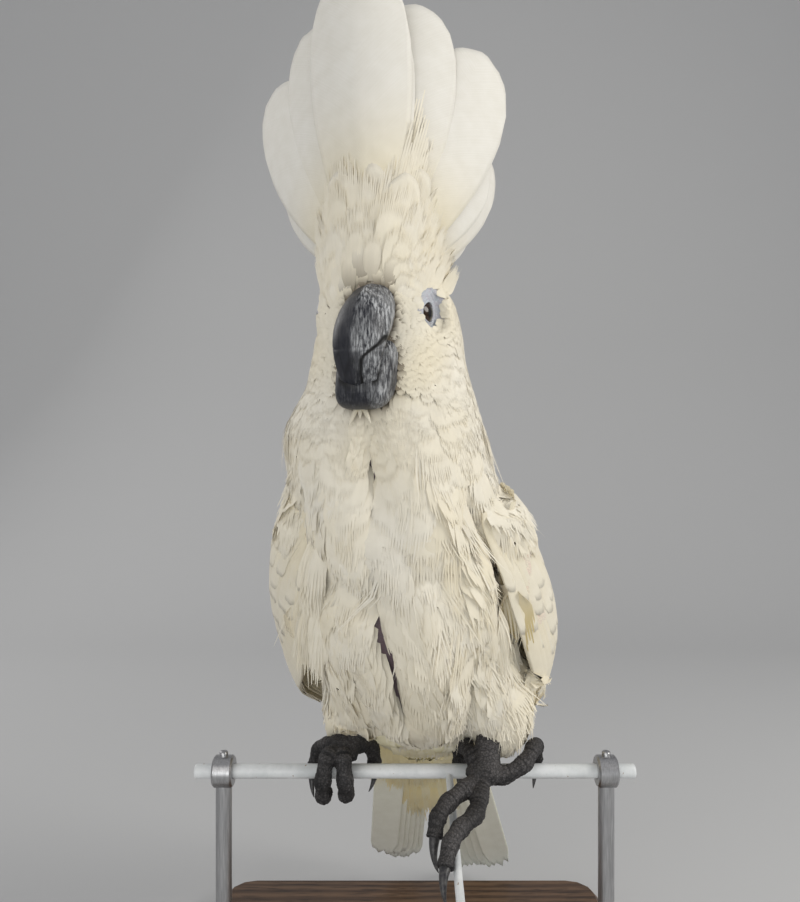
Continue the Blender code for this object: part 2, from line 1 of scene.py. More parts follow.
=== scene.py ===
"""The looks of the white cockatoo on its perch: skin, plumage, horn, scaled feet, enamel and stand.

Lengths are in millimetres about the rail's axis, as in the part's source, and become metres when a mesh is
made. The bird faces -Y and its left is +X. Every feather is a real mesh: soft feathers are smooth thin
vanes with a fringe at the end, loose ones are fans of narrow barb strips, and large ones are closed vanes.
"""

import math

import bmesh
import bpy
import numpy as np
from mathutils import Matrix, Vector, noise
from mathutils.bvhtree import BVHTree
from mathutils.kdtree import KDTree


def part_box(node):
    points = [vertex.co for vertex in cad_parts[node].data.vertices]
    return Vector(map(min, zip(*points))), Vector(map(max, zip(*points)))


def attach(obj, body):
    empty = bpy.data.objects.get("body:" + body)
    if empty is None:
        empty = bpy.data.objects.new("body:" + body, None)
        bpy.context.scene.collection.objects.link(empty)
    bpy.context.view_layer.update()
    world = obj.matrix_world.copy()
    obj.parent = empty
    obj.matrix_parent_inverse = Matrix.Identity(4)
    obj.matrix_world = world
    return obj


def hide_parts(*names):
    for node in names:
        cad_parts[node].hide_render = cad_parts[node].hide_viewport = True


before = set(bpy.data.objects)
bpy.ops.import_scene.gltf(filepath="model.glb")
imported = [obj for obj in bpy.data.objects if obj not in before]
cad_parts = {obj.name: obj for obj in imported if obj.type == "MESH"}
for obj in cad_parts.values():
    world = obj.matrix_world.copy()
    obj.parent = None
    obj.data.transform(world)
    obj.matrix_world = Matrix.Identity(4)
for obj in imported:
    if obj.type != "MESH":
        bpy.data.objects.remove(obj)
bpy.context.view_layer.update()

MM = 0.001
SEED = 20
FAR = 99.0  # stands for a distance that doesn't matter, in millimetres
SIDES = {"left": 1, "right": -1}


def box_middle(node):
    """The middle of a node's box, in millimetres, with heights from the table."""
    low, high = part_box(node)
    return np.array([(a + b) / 2 / MM for a, b in zip(low, high)])


RAIL = box_middle("perch_rail") * np.array([0, 0, 1])  # from the table up to the rail's axis


def middle(node):
    """The middle of a node's box, in millimetres about the rail's axis."""
    return box_middle(node) - RAIL


# ---------------------------------------------------------------- driving dimensions, in millimetres
SKIN_VOXEL = 1.5
HEAD_MIDDLE_TO_EYES = 7.0  # how far the eyes stand in front of the head's middle
EYE_RADIUS = 6.5
EYE_RINGS, EYE_SIDES = 33, 48
RING_RADIUS = 7.3  # bare skin round each eye
RING_RISE = 1.8  # how far the bare ring's middle stands above the eye's
WING_WRIST = np.array([0.0, -27.0, 124.0])
WING_LENGTH = 262.0
WING_HEIGHT = 60  # a folded wing from its lower edge to its upper one, roughly
WING_PITCH = {"left": math.radians(37), "right": math.radians(41)}  # from straight down, towards the tail
CAMERA_PLACE = np.array([-6.75, -360.0, 144.0])
CAMERA_FOCAL = 800.0  # in image widths of 800
IMAGE_SIZE = (800, 902)
BARB_SLANT = 0.35  # how far a vane's barbs fall back from its shaft to its edge, as a share of its length
BODY_SEEDS, BROW_SEEDS = 110000, 60000  # places tried for feathers, before they are thinned

# the partings of the breast: highest and lowest point as (x, z), and half width
PARTINGS = [((-18.0, 145.0), (-17.0, 131.0), 0.8), ((-17.0, 91.0), (-6.0, 38.0), 2.6)]
# the shadowed gaps between the flanks and the folded wings: corners as (x, z), and half width
WING_GAPS = [([(20.0, 122.0), (37.0, 90.0), (49.0, 54.0)], 1.7), ([(-46.0, 122.0), (-49.0, 70.0)], 0.8)]
# furrows between the plumage's masses, seen from the front: ends as (x, z), half width and depth
FURROWS = [
    ((-18.5, 152.0), (-17.5, 122.0), 4.0, 2.6),
    ((-17.0, 94.0), (-6.0, 36.0), 5.5, 4.0),
    ((20.0, 124.0), (37.0, 90.0), 4.5, 4.6),
    ((37.0, 90.0), (49.0, 52.0), 4.0, 4.6),
    ((-46.0, 124.0), (-49.0, 68.0), 4.0, 3.4),
    ((-40.0, 96.0), (-24.0, 84.0), 4.0, 2.4),
    ((-4.0, 98.0), (16.0, 92.0), 4.0, 2.0),
    ((25.0, 58.0), (23.0, 12.0), 4.5, 4.5),
    ((-26.0, 50.0), (-17.0, 16.0), 4.0, 3.4),
    ((-50.0, 92.0), (-22.0, 84.0), 5.0, 2.2),
    ((-19.0, 21.0), (2.0, 3.5), 3.0, 2.4),
    ((2.0, 3.5), (23.0, 21.0), 3.0, 2.4),
]
# swellings of the plumage, seen from the front: middle (x, z), half width, half height and rise
SWELLINGS = [
    ((36.0, 32.0), 13.0, 22.0, 3.0),
    ((-33.0, 30.0), 12.0, 20.0, 2.0),
    ((8.0, 108.0), 16.0, 20.0, 3.0),
    ((25.0, 82.0), 8.0, 24.0, 3.0),
    ((47.0, 92.0), 6.0, 30.0, 2.6),
    ((-38.0, 112.0), 16.0, 24.0, 2.2),
    ((4.0, 48.0), 12.0, 26.0, 2.4),
]

# ---------------------------------------------------------------- colours
WHITE = np.array([0.88, 0.838, 0.735])
CREST_WHITE = np.array([0.87, 0.85, 0.795])
# painted light: the tail's white is brighter than the body's, since the tail hangs in shade under the body
TAIL_LIT_WHITE = np.array([0.95, 0.97, 0.90])
CREAM = np.array([0.86, 0.775, 0.575])
YELLOW = np.array([0.87, 0.66, 0.13])
PALE_YELLOW = np.array([0.88, 0.81, 0.50])
RIM_BROWN = np.array([0.13, 0.095, 0.06])
# painted shade for the gap between the flank and the bird's left wing
GAP_SHADE_BROWN = np.array([0.17, 0.12, 0.06])
DUSKY_SKIN = np.array([0.17, 0.13, 0.145])
RING_BLUE = np.array([0.56, 0.61, 0.66])


# ---------------------------------------------------------------- small numeric helpers
def unit(v):
    return v / np.maximum(np.linalg.norm(v, axis=-1, keepdims=True), 1e-9)


def eased(x, low, high):
    """0 below low, 1 above high, and smooth between."""
    t = np.clip((np.asarray(x, float) - low) / (high - low), 0, 1)
    return t * t * (3 - 2 * t)


def mixed(a, b, share):
    return a + (b - a) * share


def dot(a, b):
    return np.sum(a * b, axis=-1, keepdims=True)


def along_x(amount):
    """A step of that amount along X, for each place."""
    return np.stack([amount, 0 * amount, 0 * amount], -1)


def off_line(x, z, start, end):
    """How far points lie from the straight line between two points, seen from the front."""
    (x0, z0), (x1, z1) = start, end
    run = np.array([x1 - x0, z1 - z0])
    share = np.clip(((x - x0) * run[0] + (z - z0) * run[1]) / (run @ run), 0, 1)
    return np.hypot(x - x0 - run[0] * share, z - z0 - run[1] * share)


def full_turn(count):
    """Angles spread evenly round a circle."""
    return 2 * np.pi * np.arange(count) / count


def ripple(places, size, seed):
    """A smooth random field over space, about -1 to 1, whose waves are about that size across."""
    rng = np.random.default_rng(seed)
    waves = rng.normal(size=(7, 3)) * (2.2 / size)
    phase = rng.uniform(0, 2 * math.pi, 7)
    return np.mean(np.sin(places @ waves.T + phase), axis=-1) * 2.2


def between(rows, place):
    """A row of numbers at a place along the rows, on a Catmull-Rom curve."""
    i = min(int(place), len(rows) - 2)
    t = place - i
    a, b, c, d = (np.array(rows[max(0, min(len(rows) - 1, i + k))], float) for k in (-1, 0, 1, 2))
    into, out = (c - a) / 2, (d - b) / 2
    return (
        b * (2 * t**3 - 3 * t**2 + 1)
        + into * (t**3 - 2 * t**2 + t)
        + c * (3 * t**2 - 2 * t**3)
        + out * (t**3 - t**2)
    )


# ---------------------------------------------------------------- meshes
def to_world(places):
    return (np.asarray(places, float) + RAIL) * MM


def linked(name, data):
    """A new object in the scene, made of the data."""
    made = bpy.data.objects.new(name, data)
    bpy.context.scene.collection.objects.link(made)
    return made


def mesh_piece(name, places, faces, skin, replaces=()):
    """A new piece of the object, from points in millimetres about the rail."""
    mesh = bpy.data.meshes.new(name)
    mesh.from_pydata(to_world(places).tolist(), [], faces if isinstance(faces, list) else faces.tolist())
    mesh.shade_smooth()
    mesh.materials.append(skin)
    made = linked(name, mesh)
    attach(made, "root")
    if replaces:
        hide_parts(*replaces)
    return made


def paint(mesh, name, colours):
    """A colour for each vertex, under the given name."""
    layer = mesh.color_attributes.new(name, "FLOAT_COLOR", "POINT")
    values = np.ones((len(mesh.vertices), 4), np.float32)
    values[:, :3] = colours
    layer.data.foreach_set("color", values.ravel())


def lay_uv(mesh, name, per_vertex):
    """A UV map from one place for each vertex."""
    layer = mesh.uv_layers.new(name=name)
    corners = np.zeros(len(mesh.loops), np.int32)
    mesh.loops.foreach_get("vertex_index", corners)
    layer.data.foreach_set("uv", np.asarray(per_vertex, np.float32)[corners].ravel())


def grid_faces(rows, columns, closed=False):
    """Quads between neighbouring rows of points."""
    i, j = np.meshgrid(np.arange(rows - 1), np.arange(columns if closed else columns - 1), indexing="ij")
    k = (j + 1) % columns
    quads = np.stack([i * columns + j, i * columns + k, (i + 1) * columns + k, (i + 1) * columns + j], -1)
    return quads.reshape(-1, 4)


def tube_mesh(name, rings, skin, replaces=()):
    """A closed body through rings of points of equal size."""
    rings = np.asarray(rings)
    rows, sides = rings.shape[:2]
    faces = grid_faces(rows, sides, closed=True).tolist()
    faces.append(list(range(sides - 1, -1, -1)))
    faces.append(list(range((rows - 1) * sides, rows * sides)))
    made = mesh_piece(name, rings.reshape(-1, 3), faces, skin, replaces)
    made.data.set_sharp_from_angle(angle=math.radians(60))
    return made


def closed_tube(rings):
    """Points and triangles of a tube with closed ends."""
    rows, sides = rings.shape[:2]
    points = np.concatenate([rings.reshape(-1, 3), rings[:1].mean(axis=1), rings[-1:].mean(axis=1)])
    faces = []
    for a, b, c, d in grid_faces(rows, sides, closed=True).tolist():
        faces += [[a, b, c], [a, c, d]]
    first, last = rows * sides, rows * sides + 1
    for k in range(sides):
        n = (k + 1) % sides
        faces.append([first, n, k])
        faces.append([last, (rows - 1) * sides + k, (rows - 1) * sides + n])
    return points, np.array(faces)


class Surface:
    """A mesh for finding the nearest point, its smooth normal, and where a ray meets it."""

    def __init__(self, points, faces):
        self.points = np.asarray(points, float)
        self.faces = np.asarray(faces)
        self.tree = BVHTree.FromPolygons(self.points.tolist(), self.faces.tolist())
        a, b, c = (self.points[self.faces[:, k]] for k in range(3))
        areas = np.cross(b - a, c - a) / 2
        self.areas = np.linalg.norm(areas, axis=1)
        at_points = np.zeros_like(self.points)
        for k in range(3):
            np.add.at(at_points, self.faces[:, k], areas)
        self.point_normals = unit(at_points)
        self.face_normals = unit(self.point_normals[self.faces].mean(axis=1))

    def nearest(self, places):
        """The nearest points on the mesh, their normals and their faces."""
        found = [self.tree.find_nearest(p) for p in places.tolist()]
        index = np.array([f[2] for f in found])
        return np.array([tuple(f[0]) for f in found]), self.face_normals[index], index

    def distance(self, places):
        return np.array([self.tree.find_nearest(p)[3] for p in places.tolist()])

    def scatter(self, count, rng):
        """Random places spread evenly over the mesh, and their faces."""
        index = rng.choice(len(self.faces), count, p=self.areas / self.areas.sum())
        a, b = np.sqrt(rng.random((count, 1))), rng.random((count, 1))
        corners = self.points[self.faces[index]]
        places = corners[:, 0] * (1 - a) + corners[:, 1] * a * (1 - b) + corners[:, 2] * a * b
        return places, index


def node_triangles(names, grow=0.0):
    """The welded triangles of some CAD nodes, in millimetres about the rail, and each one's node."""
    points, faces, owner, start = [], [], [], 0
    for number, name in enumerate(names):
        work = bmesh.new()
        work.from_mesh(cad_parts[name].data)
        bmesh.ops.remove_doubles(work, verts=work.verts, dist=0.01 * MM)
        bmesh.ops.triangulate(work, faces=work.faces)
        bmesh.ops.recalc_face_normals(work, faces=work.faces)
        work.verts.index_update()
        for vertex in work.verts:
            place = np.array(vertex.co) / MM - RAIL
            points.append(place + np.array(vertex.normal) * grow)
        for face in work.faces:
            faces.append([v.index + start for v in face.verts])
            owner.append(number)
        start = len(points)
        work.free()
    return np.array(points), np.array(faces), np.array(owner)


def remeshed(points, faces, voxel, smoothing):
    """The outside of overlapping closed meshes as one fine, even mesh of triangles."""
    mesh = bpy.data.meshes.new("raw")
    mesh.from_pydata((points * MM).tolist(), [], faces.tolist())
    raw = linked("raw", mesh)
    remesh = raw.modifiers.new("even", "REMESH")
    remesh.mode = "VOXEL"
    remesh.voxel_size = voxel * MM
    soften = raw.modifiers.new("soften", "SMOOTH")
    soften.iterations = smoothing
    graph = bpy.context.evaluated_depsgraph_get()
    made = bpy.data.meshes.new_from_object(raw.evaluated_get(graph))
    made.calc_loop_triangles()
    places = np.zeros(len(made.vertices) * 3)
    made.vertices.foreach_get("co", places)
    corners = np.zeros(len(made.loop_triangles) * 3, np.int32)
    made.loop_triangles.foreach_get("vertices", corners)
    bpy.data.objects.remove(raw)
    bpy.data.meshes.remove(mesh)
    bpy.data.meshes.remove(made)
    return places.reshape(-1, 3) / MM, corners.reshape(-1, 3)


# ---------------------------------------------------------------- materials
def new_material(name, roughness, specular=0.5, metallic=0.0):
    made = bpy.data.materials.new(name)
    made.use_nodes = True
    shader = made.node_tree.nodes["Principled BSDF"]
    shader.inputs["Roughness"].default_value = roughness
    shader.inputs["Specular IOR Level"].default_value = specular
    shader.inputs["Metallic"].default_value = metallic
    return made, made.node_tree, shader


def node(tree, kind, **settings):
    made = tree.nodes.new(kind)
    for key, value in settings.items():
        if key in made.inputs.keys():
            made.inputs[key].default_value = value
        else:
            setattr(made, key, value)
    return made


def ramp(tree, source, stops):
    """A colour ramp over a value; stops are (place, colour)."""
    made = tree.nodes.new("ShaderNodeValToRGB")
    made.color_ramp.elements[0].position = stops[0][0]
    made.color_ramp.elements[0].color = (*stops[0][1], 1)
    made.color_ramp.elements[1].position = stops[-1][0]
    made.color_ramp.elements[1].color = (*stops[-1][1], 1)
    for place, colour in stops[1:-1]:
        made.color_ramp.elements.new(place).color = (*colour, 1)
    tree.links.new(source, made.inputs["Fac"])
    return made.outputs["Color"]


def mix_colour(tree, share, a, b, blend="MIX"):
    made = tree.nodes.new("ShaderNodeMix")
    made.data_type = "RGBA"
    made.blend_type = blend
    for socket, value in ((made.inputs[0], share), (made.inputs[6], a), (made.inputs[7], b)):
        if isinstance(value, bpy.types.NodeSocket):
            tree.links.new(value, socket)
        elif isinstance(value, (int, float)):
            socket.default_value = value
        else:
            socket.default_value = (*value, 1)
    return made.outputs[2]


def add_bump(tree, shader, height, strength, distance):
    made = node(tree, "ShaderNodeBump", Strength=strength, Distance=distance * MM)
    tree.links.new(height, made.inputs["Height"])
    tree.links.new(made.outputs["Normal"], shader.inputs["Normal"])


def object_place(tree):
    """The socket that gives a point's place on its object."""
    return tree.nodes.new("ShaderNodeTexCoord").outputs["Object"]


def stretched(tree, place, scale):
    """A place scaled along each axis, which draws a texture out into streaks."""
    made = node(tree, "ShaderNodeMapping")
    made.inputs["Scale"].default_value = scale
    tree.links.new(place, made.inputs["Vector"])
    return made.outputs["Vector"]


def texture(tree, kind, place, **settings):
    """A texture laid over a place: the distance to its cells' edges, or else its value."""
    made = node(tree, f"ShaderNodeTex{kind}", **settings)
    tree.links.new(place, made.inputs["Vector"])
    return made.outputs["Distance" if kind == "Voronoi" else "Fac"]


def calculated(tree, operation, *values):
    """The result of an operation on sockets and numbers."""
    made = node(tree, "ShaderNodeMath", operation=operation)
    for socket, value in zip(made.inputs, values):
        if isinstance(value, bpy.types.NodeSocket):
            tree.links.new(value, socket)
        else:
            socket.default_value = value
    return made.outputs[0]


def painted_tint(tree):
    """The tint painted on the mesh's points."""
    return node(tree, "ShaderNodeVertexColor", layer_name="Tint").outputs["Color"]


def multiplied(tree, colour, other, share=1.0):
    return mix_colour(tree, share, colour, other, "MULTIPLY")


def coloured(tree, shader, colour):
    tree.links.new(colour, shader.inputs["Base Color"])


def plumage_material(name, barbs=0.0):
    """White feather: the painted tint, faint mottling, and fine barbs across a vane."""
    made, tree, shader = new_material(name, 0.75, 0.18)
    shader.inputs["Sheen Weight"].default_value = 0.12
    shader.inputs["Sheen Roughness"].default_value = 0.6
    mottle = texture(tree, "Noise", object_place(tree), Scale=160.0, Detail=3.0)
    shade = ramp(tree, mottle, [(0.3, (0.95, 0.945, 0.93)), (0.7, (1, 1, 1))])
    colour = multiplied(tree, painted_tint(tree), shade)
    if barbs:
        across = tree.nodes.new("ShaderNodeSeparateXYZ")
        tree.links.new(node(tree, "ShaderNodeUVMap", uv_map="Vane").outputs["UV"], across.inputs["Vector"])
        off_shaft = calculated(tree, "ABSOLUTE", calculated(tree, "SUBTRACT", across.outputs["X"], 0.5))
        lag = calculated(tree, "MULTIPLY", off_shaft, BARB_SLANT)
        slanted = tree.nodes.new("ShaderNodeCombineXYZ")
        tree.links.new(calculated(tree, "SUBTRACT", across.outputs["Y"], lag), slanted.inputs["Y"])
        lines = texture(tree, "Noise", slanted.outputs[0], Scale=barbs, Detail=2.0)
        streak = ramp(tree, lines, [(0.3, (0.94, 0.935, 0.915)), (0.65, (1, 1, 1))])
        colour = multiplied(tree, colour, streak)
        add_bump(tree, shader, lines, 0.25, 0.25)
    coloured(tree, shader, colour)
    return made


def skin_material():
    """Bare skin: the painted tint with fine creases."""
    made, tree, shader = new_material("skin", 0.55, 0.35)
    place = object_place(tree)
    cells = texture(tree, "Voronoi", place, Scale=1100.0, feature="DISTANCE_TO_EDGE")
    creases = ramp(tree, cells, [(0.0, (0.72, 0.70, 0.70)), (0.25, (1, 1, 1))])
    blotch = texture(tree, "Noise", place, Scale=420.0, Detail=3.0)
    pink = ramp(tree, blotch, [(0.35, (1, 1, 1)), (0.75, (1.0, 0.88, 0.9))])
    colour = multiplied(tree, painted_tint(tree), creases, 0.6)
    coloured(tree, shader, multiplied(tree, colour, pink))
    add_bump(tree, shader, cells, 0.35, 0.2)
    return made


def horn_material():
    """Dark horn with pale powder, lengthwise scratches, worn flakes and a few cracks, with painted shade in
    the seam between the mandibles and painted light in the powder on the lit side.
    """
    made, tree, shader = new_material("bill_horn", 0.4, 0.35)
    place = object_place(tree)
    streaks = stretched(tree, place, (1.0, 0.35, 0.13))
    lines = texture(tree, "Noise", streaks, Scale=1500.0, Detail=6.0, Roughness=0.7)
    patches = texture(tree, "Noise", place, Scale=150.0, Detail=5.0, Roughness=0.65)
    cracks = texture(tree, "Voronoi", streaks, Scale=230.0, feature="DISTANCE_TO_EDGE")
    split = tree.nodes.new("ShaderNodeSeparateColor")
    tree.links.new(painted_tint(tree), split.inputs["Color"])
    # red is the pale powder and scratches, laid on the bird's lit left side: real wear, and painted light on
    # that side
    dust, clear = split.outputs["Red"], split.outputs["Green"]
    colour = ramp(tree, patches, [(0.3, (0.010, 0.011, 0.018)), (0.7, (0.026, 0.027, 0.034))])
    scratch = ramp(tree, lines, [(0.46, (0, 0, 0)), (0.60, (1, 1, 1))])
    colour = mix_colour(tree, calculated(tree, "MULTIPLY", scratch, dust), colour, (0.52, 0.535, 0.55))
    veil = ramp(tree, patches, [(0.40, (0, 0, 0)), (0.62, (0.5, 0.5, 0.5))])
    colour = mix_colour(tree, calculated(tree, "MULTIPLY", veil, dust), colour, (0.38, 0.39, 0.40))
    crack = ramp(tree, cracks, [(0.0, (0.35, 0.35, 0.35)), (0.05, (1, 1, 1))])
    colour = multiplied(tree, colour, crack, 0.7)
    # painted shade: near black where green is low, along the seam between the mandibles
    coloured(tree, shader, mix_colour(tree, clear, (0.004, 0.004, 0.004), colour))
    rough = node(tree, "ShaderNodeMapRange")
    rough.inputs["To Min"].default_value = 0.25
    rough.inputs["To Max"].default_value = 0.65
    tree.links.new(lines, rough.inputs["Value"])
    tree.links.new(rough.outputs["Result"], shader.inputs["Roughness"])
    add_bump(tree, shader, lines, 0.45, 0.2)
    return made


def foot_material():
    """Dark grey scales with darker edges, paler and dusty in places."""
    made, tree, shader = new_material("foot_scales", 0.72, 0.35)
    place = object_place(tree)
    cells = texture(tree, "Voronoi", place, Scale=750.0, feature="DISTANCE_TO_EDGE")
    grain = texture(tree, "Noise", place, Scale=1500.0, Detail=4.0)
    edge = ramp(tree, cells, [(0.0, (0.45, 0.43, 0.42)), (0.2, (1, 1, 1))])
    dust = ramp(tree, grain, [(0.42, (0.85, 0.85, 0.88)), (0.75, (2.1, 2.08, 2.06))])
    coloured(tree, shader, multiplied(tree, multiplied(tree, painted_tint(tree), edge), dust))
    add_bump(tree, shader, cells, 0.5, 0.3)
    return made


def claw_material():
    """Dark horn, paler in places."""
    made, tree, shader = new_material("claw_horn", 0.33, 0.5)
    grain = texture(tree, "Noise", object_place(tree), Scale=700.0, Detail=4.0)
    coloured(tree, shader, ramp(tree, grain, [(0.35, (0.018, 0.018, 0.022)), (0.8, (0.10, 0.095, 0.09))]))
    add_bump(tree, shader, grain, 0.3, 0.15)
    return made


def eye_material():
    """Nearly black brown, with a darker pupil, under a wet surface."""
    made, tree, shader = new_material("eye_wet", 0.14, 0.4)
    shader.inputs["Coat Weight"].default_value = 0.1
    fleck = texture(tree, "Noise", object_place(tree), Scale=900.0, Detail=3.0)
    shade = ramp(tree, fleck, [(0.3, (0.6, 0.6, 0.6)), (0.7, (1.3, 1.2, 1.1))])
    coloured(tree, shader, multiplied(tree, painted_tint(tree), shade))
    return made


def enamel_material():
    """White enamelled wire, with a few stains and rusty pinholes."""
    made, tree, shader = new_material("rail_enamel", 0.34, 0.5)
    place = object_place(tree)
    stain = texture(tree, "Noise", place, Scale=70.0, Detail=5.0, Roughness=0.6)
    base = ramp(tree, stain, [(0.35, (0.62, 0.65, 0.66)), (0.6, (0.80, 0.82, 0.83))])
    pits = texture(tree, "Noise", place, Scale=520.0, Detail=2.0)
    spots = ramp(tree, pits, [(0.72, (0, 0, 0)), (0.78, (1, 1, 1))])
    coloured(tree, shader, mix_colour(tree, spots, base, (0.26, 0.16, 0.09)))
    add_bump(tree, shader, stain, 0.2, 0.3)
    return made


def steel_material():
    """Bare steel, brushed along its length."""
    made, tree, shader = new_material("rod_steel", 0.34, 0.5, 1.0)
    streaks = stretched(tree, object_place(tree), (1, 1, 0.06))
    brushed = texture(tree, "Noise", streaks, Scale=1800.0, Detail=3.0)
    coloured(tree, shader, ramp(tree, brushed, [(0.3, (0.36, 0.36, 0.37)), (0.7, (0.52, 0.52, 0.53))]))
    add_bump(tree, shader, brushed, 0.12, 0.1)
    return made


def wood_material():
    """Dark stained wood: long grain with pores, under a satin seal."""
    made, tree, shader = new_material("base_wood", 0.38, 0.45)
    grain = stretched(tree, object_place(tree), (0.09, 1, 1))
    bend = texture(tree, "Noise", grain, Scale=28.0, Detail=2.0)
    rings = texture(tree, "Wave", grain, Scale=38.0, Distortion=9.0, Detail=3.0, bands_direction="Y")
    pores = texture(tree, "Noise", grain, Scale=650.0, Detail=3.0)
    wood = ramp(tree, rings, [(0.1, (0.075, 0.040, 0.022)), (0.9, (0.15, 0.088, 0.05))])
    dark = ramp(tree, pores, [(0.36, (0.45, 0.42, 0.4)), (0.5, (1, 1, 1))])
    tone = ramp(tree, bend, [(0.3, (0.8, 0.8, 0.8)), (0.7, (1.15, 1.12, 1.1))])
    coloured(tree, shader, multiplied(tree, multiplied(tree, wood, dark), tone))
    add_bump(tree, shader, pores, 0.15, 0.2)
    return made


# ---------------------------------------------------------------- the head's own directions
def head_frame():
    """The head's middle at eye height, and its left, forward and up directions, from the two eyes."""
    left, right = middle("eye_left"), middle("eye_right")
    across = unit(left - right)
    forward = np.array([across[1], -across[0], 0.0])
    centre = (left + right) / 2 - forward * HEAD_MIDDLE_TO_EYES
    return centre, across, forward, np.array([0.0, 0.0, 1.0])


HEAD, HEAD_LEFT, HEAD_FORWARD, UP = head_frame()
HEAD_AXIS = HEAD * np.array([1, 1, 0])  # the head's middle, brought down to the rail's height
EYES = {side: middle(f"eye_{side}") for side in SIDES}
EYE_AIM = {side: unit(HEAD_LEFT * sign + HEAD_FORWARD * 0.2 - UP * 0.04) for side, sign in SIDES.items()}


def head_place(side, forward, z):
    """A point given from the head's middle; z is from the rail."""
    return HEAD_AXIS + HEAD_LEFT * side + HEAD_FORWARD * forward + UP * z


def in_head(places):
    """side, forward and z of each place in the head's own directions."""
    flat = places - HEAD_AXIS
    return flat @ HEAD_LEFT, flat @ HEAD_FORWARD, flat[..., 2]


def from_eye(places, side):
    """How far each place lies from the line that the eye looks along, and the way straight out from it."""
    away = places - EYES[side] - UP * RING_RISE
    away = away - dot(away, EYE_AIM[side]) * EYE_AIM[side]
    distance = np.linalg.norm(away, axis=-1)
    ahead = (places - EYES[side]) @ EYE_AIM[side] > 0
    return np.where(ahead, distance, FAR), unit(away)


# ---------------------------------------------------------------- the shape under the coat
FLESH = ["head", "neck", "trunk", "leg_left", "leg_right", "wing_left", "wing_right"]
ON_HEAD, ON_NECK, ON_TRUNK, ON_LEG, ON_WING, ON_RIGHT_WING = range(6)  # ON_WING itself is the left one
REGION = dict(zip(FLESH, (ON_HEAD, ON_NECK, ON_TRUNK, ON_LEG, ON_LEG, ON_WING, ON_RIGHT_WING)))

flesh_points, flesh_faces, flesh_owner = node_triangles(FLESH)
flesh = Surface(flesh_points, flesh_faces)


def formed(points, normals):
    """The furrows and swellings of the plumage's masses, on the front of the body."""
    x, z = points[:, 0], points[:, 2]
    front = eased(-normals[:, 1], 0.0, 0.45)
    rise = np.zeros(len(points))
    for start, end, half, depth in FURROWS:
        rise -= depth * np.exp(-((off_line(x, z, start, end) / half) ** 2))
    for (x0, z0), wide, tall, height in SWELLINGS:
        rise += height * np.exp(-(((x - x0) / wide) ** 2) - ((z - z0) / tall) ** 2)
    rise += 0.9 * ripple(points, 26, SEED + 6) * eased(170 - z, 0, 30)
    return points + normals * (rise * front)[:, None]


def ball(centre, radius, rows=14, sides=24):
    """Points and triangles of a ball."""
    turns = full_turn(sides)
    rings = []
    for tilt in np.linspace(0.06, math.pi - 0.06, rows):
        flat = np.stack([np.cos(turns), np.sin(turns), 0 * turns], -1) * math.sin(tilt)
        rings.append(centre + radius * (flat + UP * math.cos(tilt)))
    return closed_tube(np.array(rings))


def joined(*bodies):
    """Several bodies' points and triangles as one list of each."""
    start, points, faces = 0, [], []
    for body_points, body_faces in bodies:
        points.append(body_points)
        faces.append(body_faces + start)
        start += len(body_points)
    return np.concatenate(points), np.concatenate(faces)


# round each eye the coat's surface stands flush with the head, over the hollow that the ball lies in
brows = [ball(EYES[side] - EYE_AIM[side] * 3.4, 11.3) for side in SIDES]
grown = joined(node_triangles(FLESH, grow=0.5)[:2], *brows)
coat = Surface(*remeshed(*grown, SKIN_VOXEL, 6))
coat = Surface(formed(coat.points, coat.point_normals), coat.faces)
horn_points, horn_faces, _ = node_triangles(["bill_upper", "bill_lower"])
horn = Surface(horn_points, horn_faces)


def region_of(places):
    """The part of the body that each place belongs to."""
    _, _, index = flesh.nearest(places)
    table = np.array([REGION[name] for name in FLESH])
    return table[flesh_owner[index]]


def parting_offset(places):
    """Signed sideways distance to the nearest parting of the breast, and its half width there."""
    best, half = np.full(len(places), FAR), np.ones(len(places))
    for (x0, z0), (x1, z1), wide in PARTINGS:
        share = np.clip((z0 - places[:, 2]) / (z0 - z1), 0, 1)
        beyond = np.maximum(places[:, 2] - z0, z1 - places[:, 2]).clip(0)
        offset = places[:, 0] - mixed(x0, x1, share)
        offset = offset + np.where(offset < 0, -beyond, beyond)
        front = places[:, 1] < 20
        nearer = (np.abs(offset) < np.abs(best)) & front
        best = np.where(nearer, offset, best)
        swell = np.sin(math.pi * np.clip(share * 0.8 + 0.2, 0, 1))
        half = np.where(nearer, wide * (0.35 + 0.65 * swell), half)
    return best, half


def gap_offset(places):
    """How far each place at the front lies from the nearest gap beside a wing, less the gap's half width."""
    best = np.full(len(places), FAR)
    x, z = places[:, 0], places[:, 2]
    for corners, half in WING_GAPS:
        for start, end in zip(corners, corners[1:]):
            best = np.minimum(best, off_line(x, z, start, end) - half)
    return np.where(places[:, 1] < 20, best, FAR)


def body_slope(z):
    """How far the body runs backwards for each millimetre down."""
    return 0.42 + 0.45 * eased(70 - z, 0, 70)


BILL_ROOT = head_place(0, 18, 190)
LEG_ENDS = {side: middle(f"foot_{side}") * np.array([1, 0.4, 0]) + np.array([0, 0, 10]) for side in SIDES}


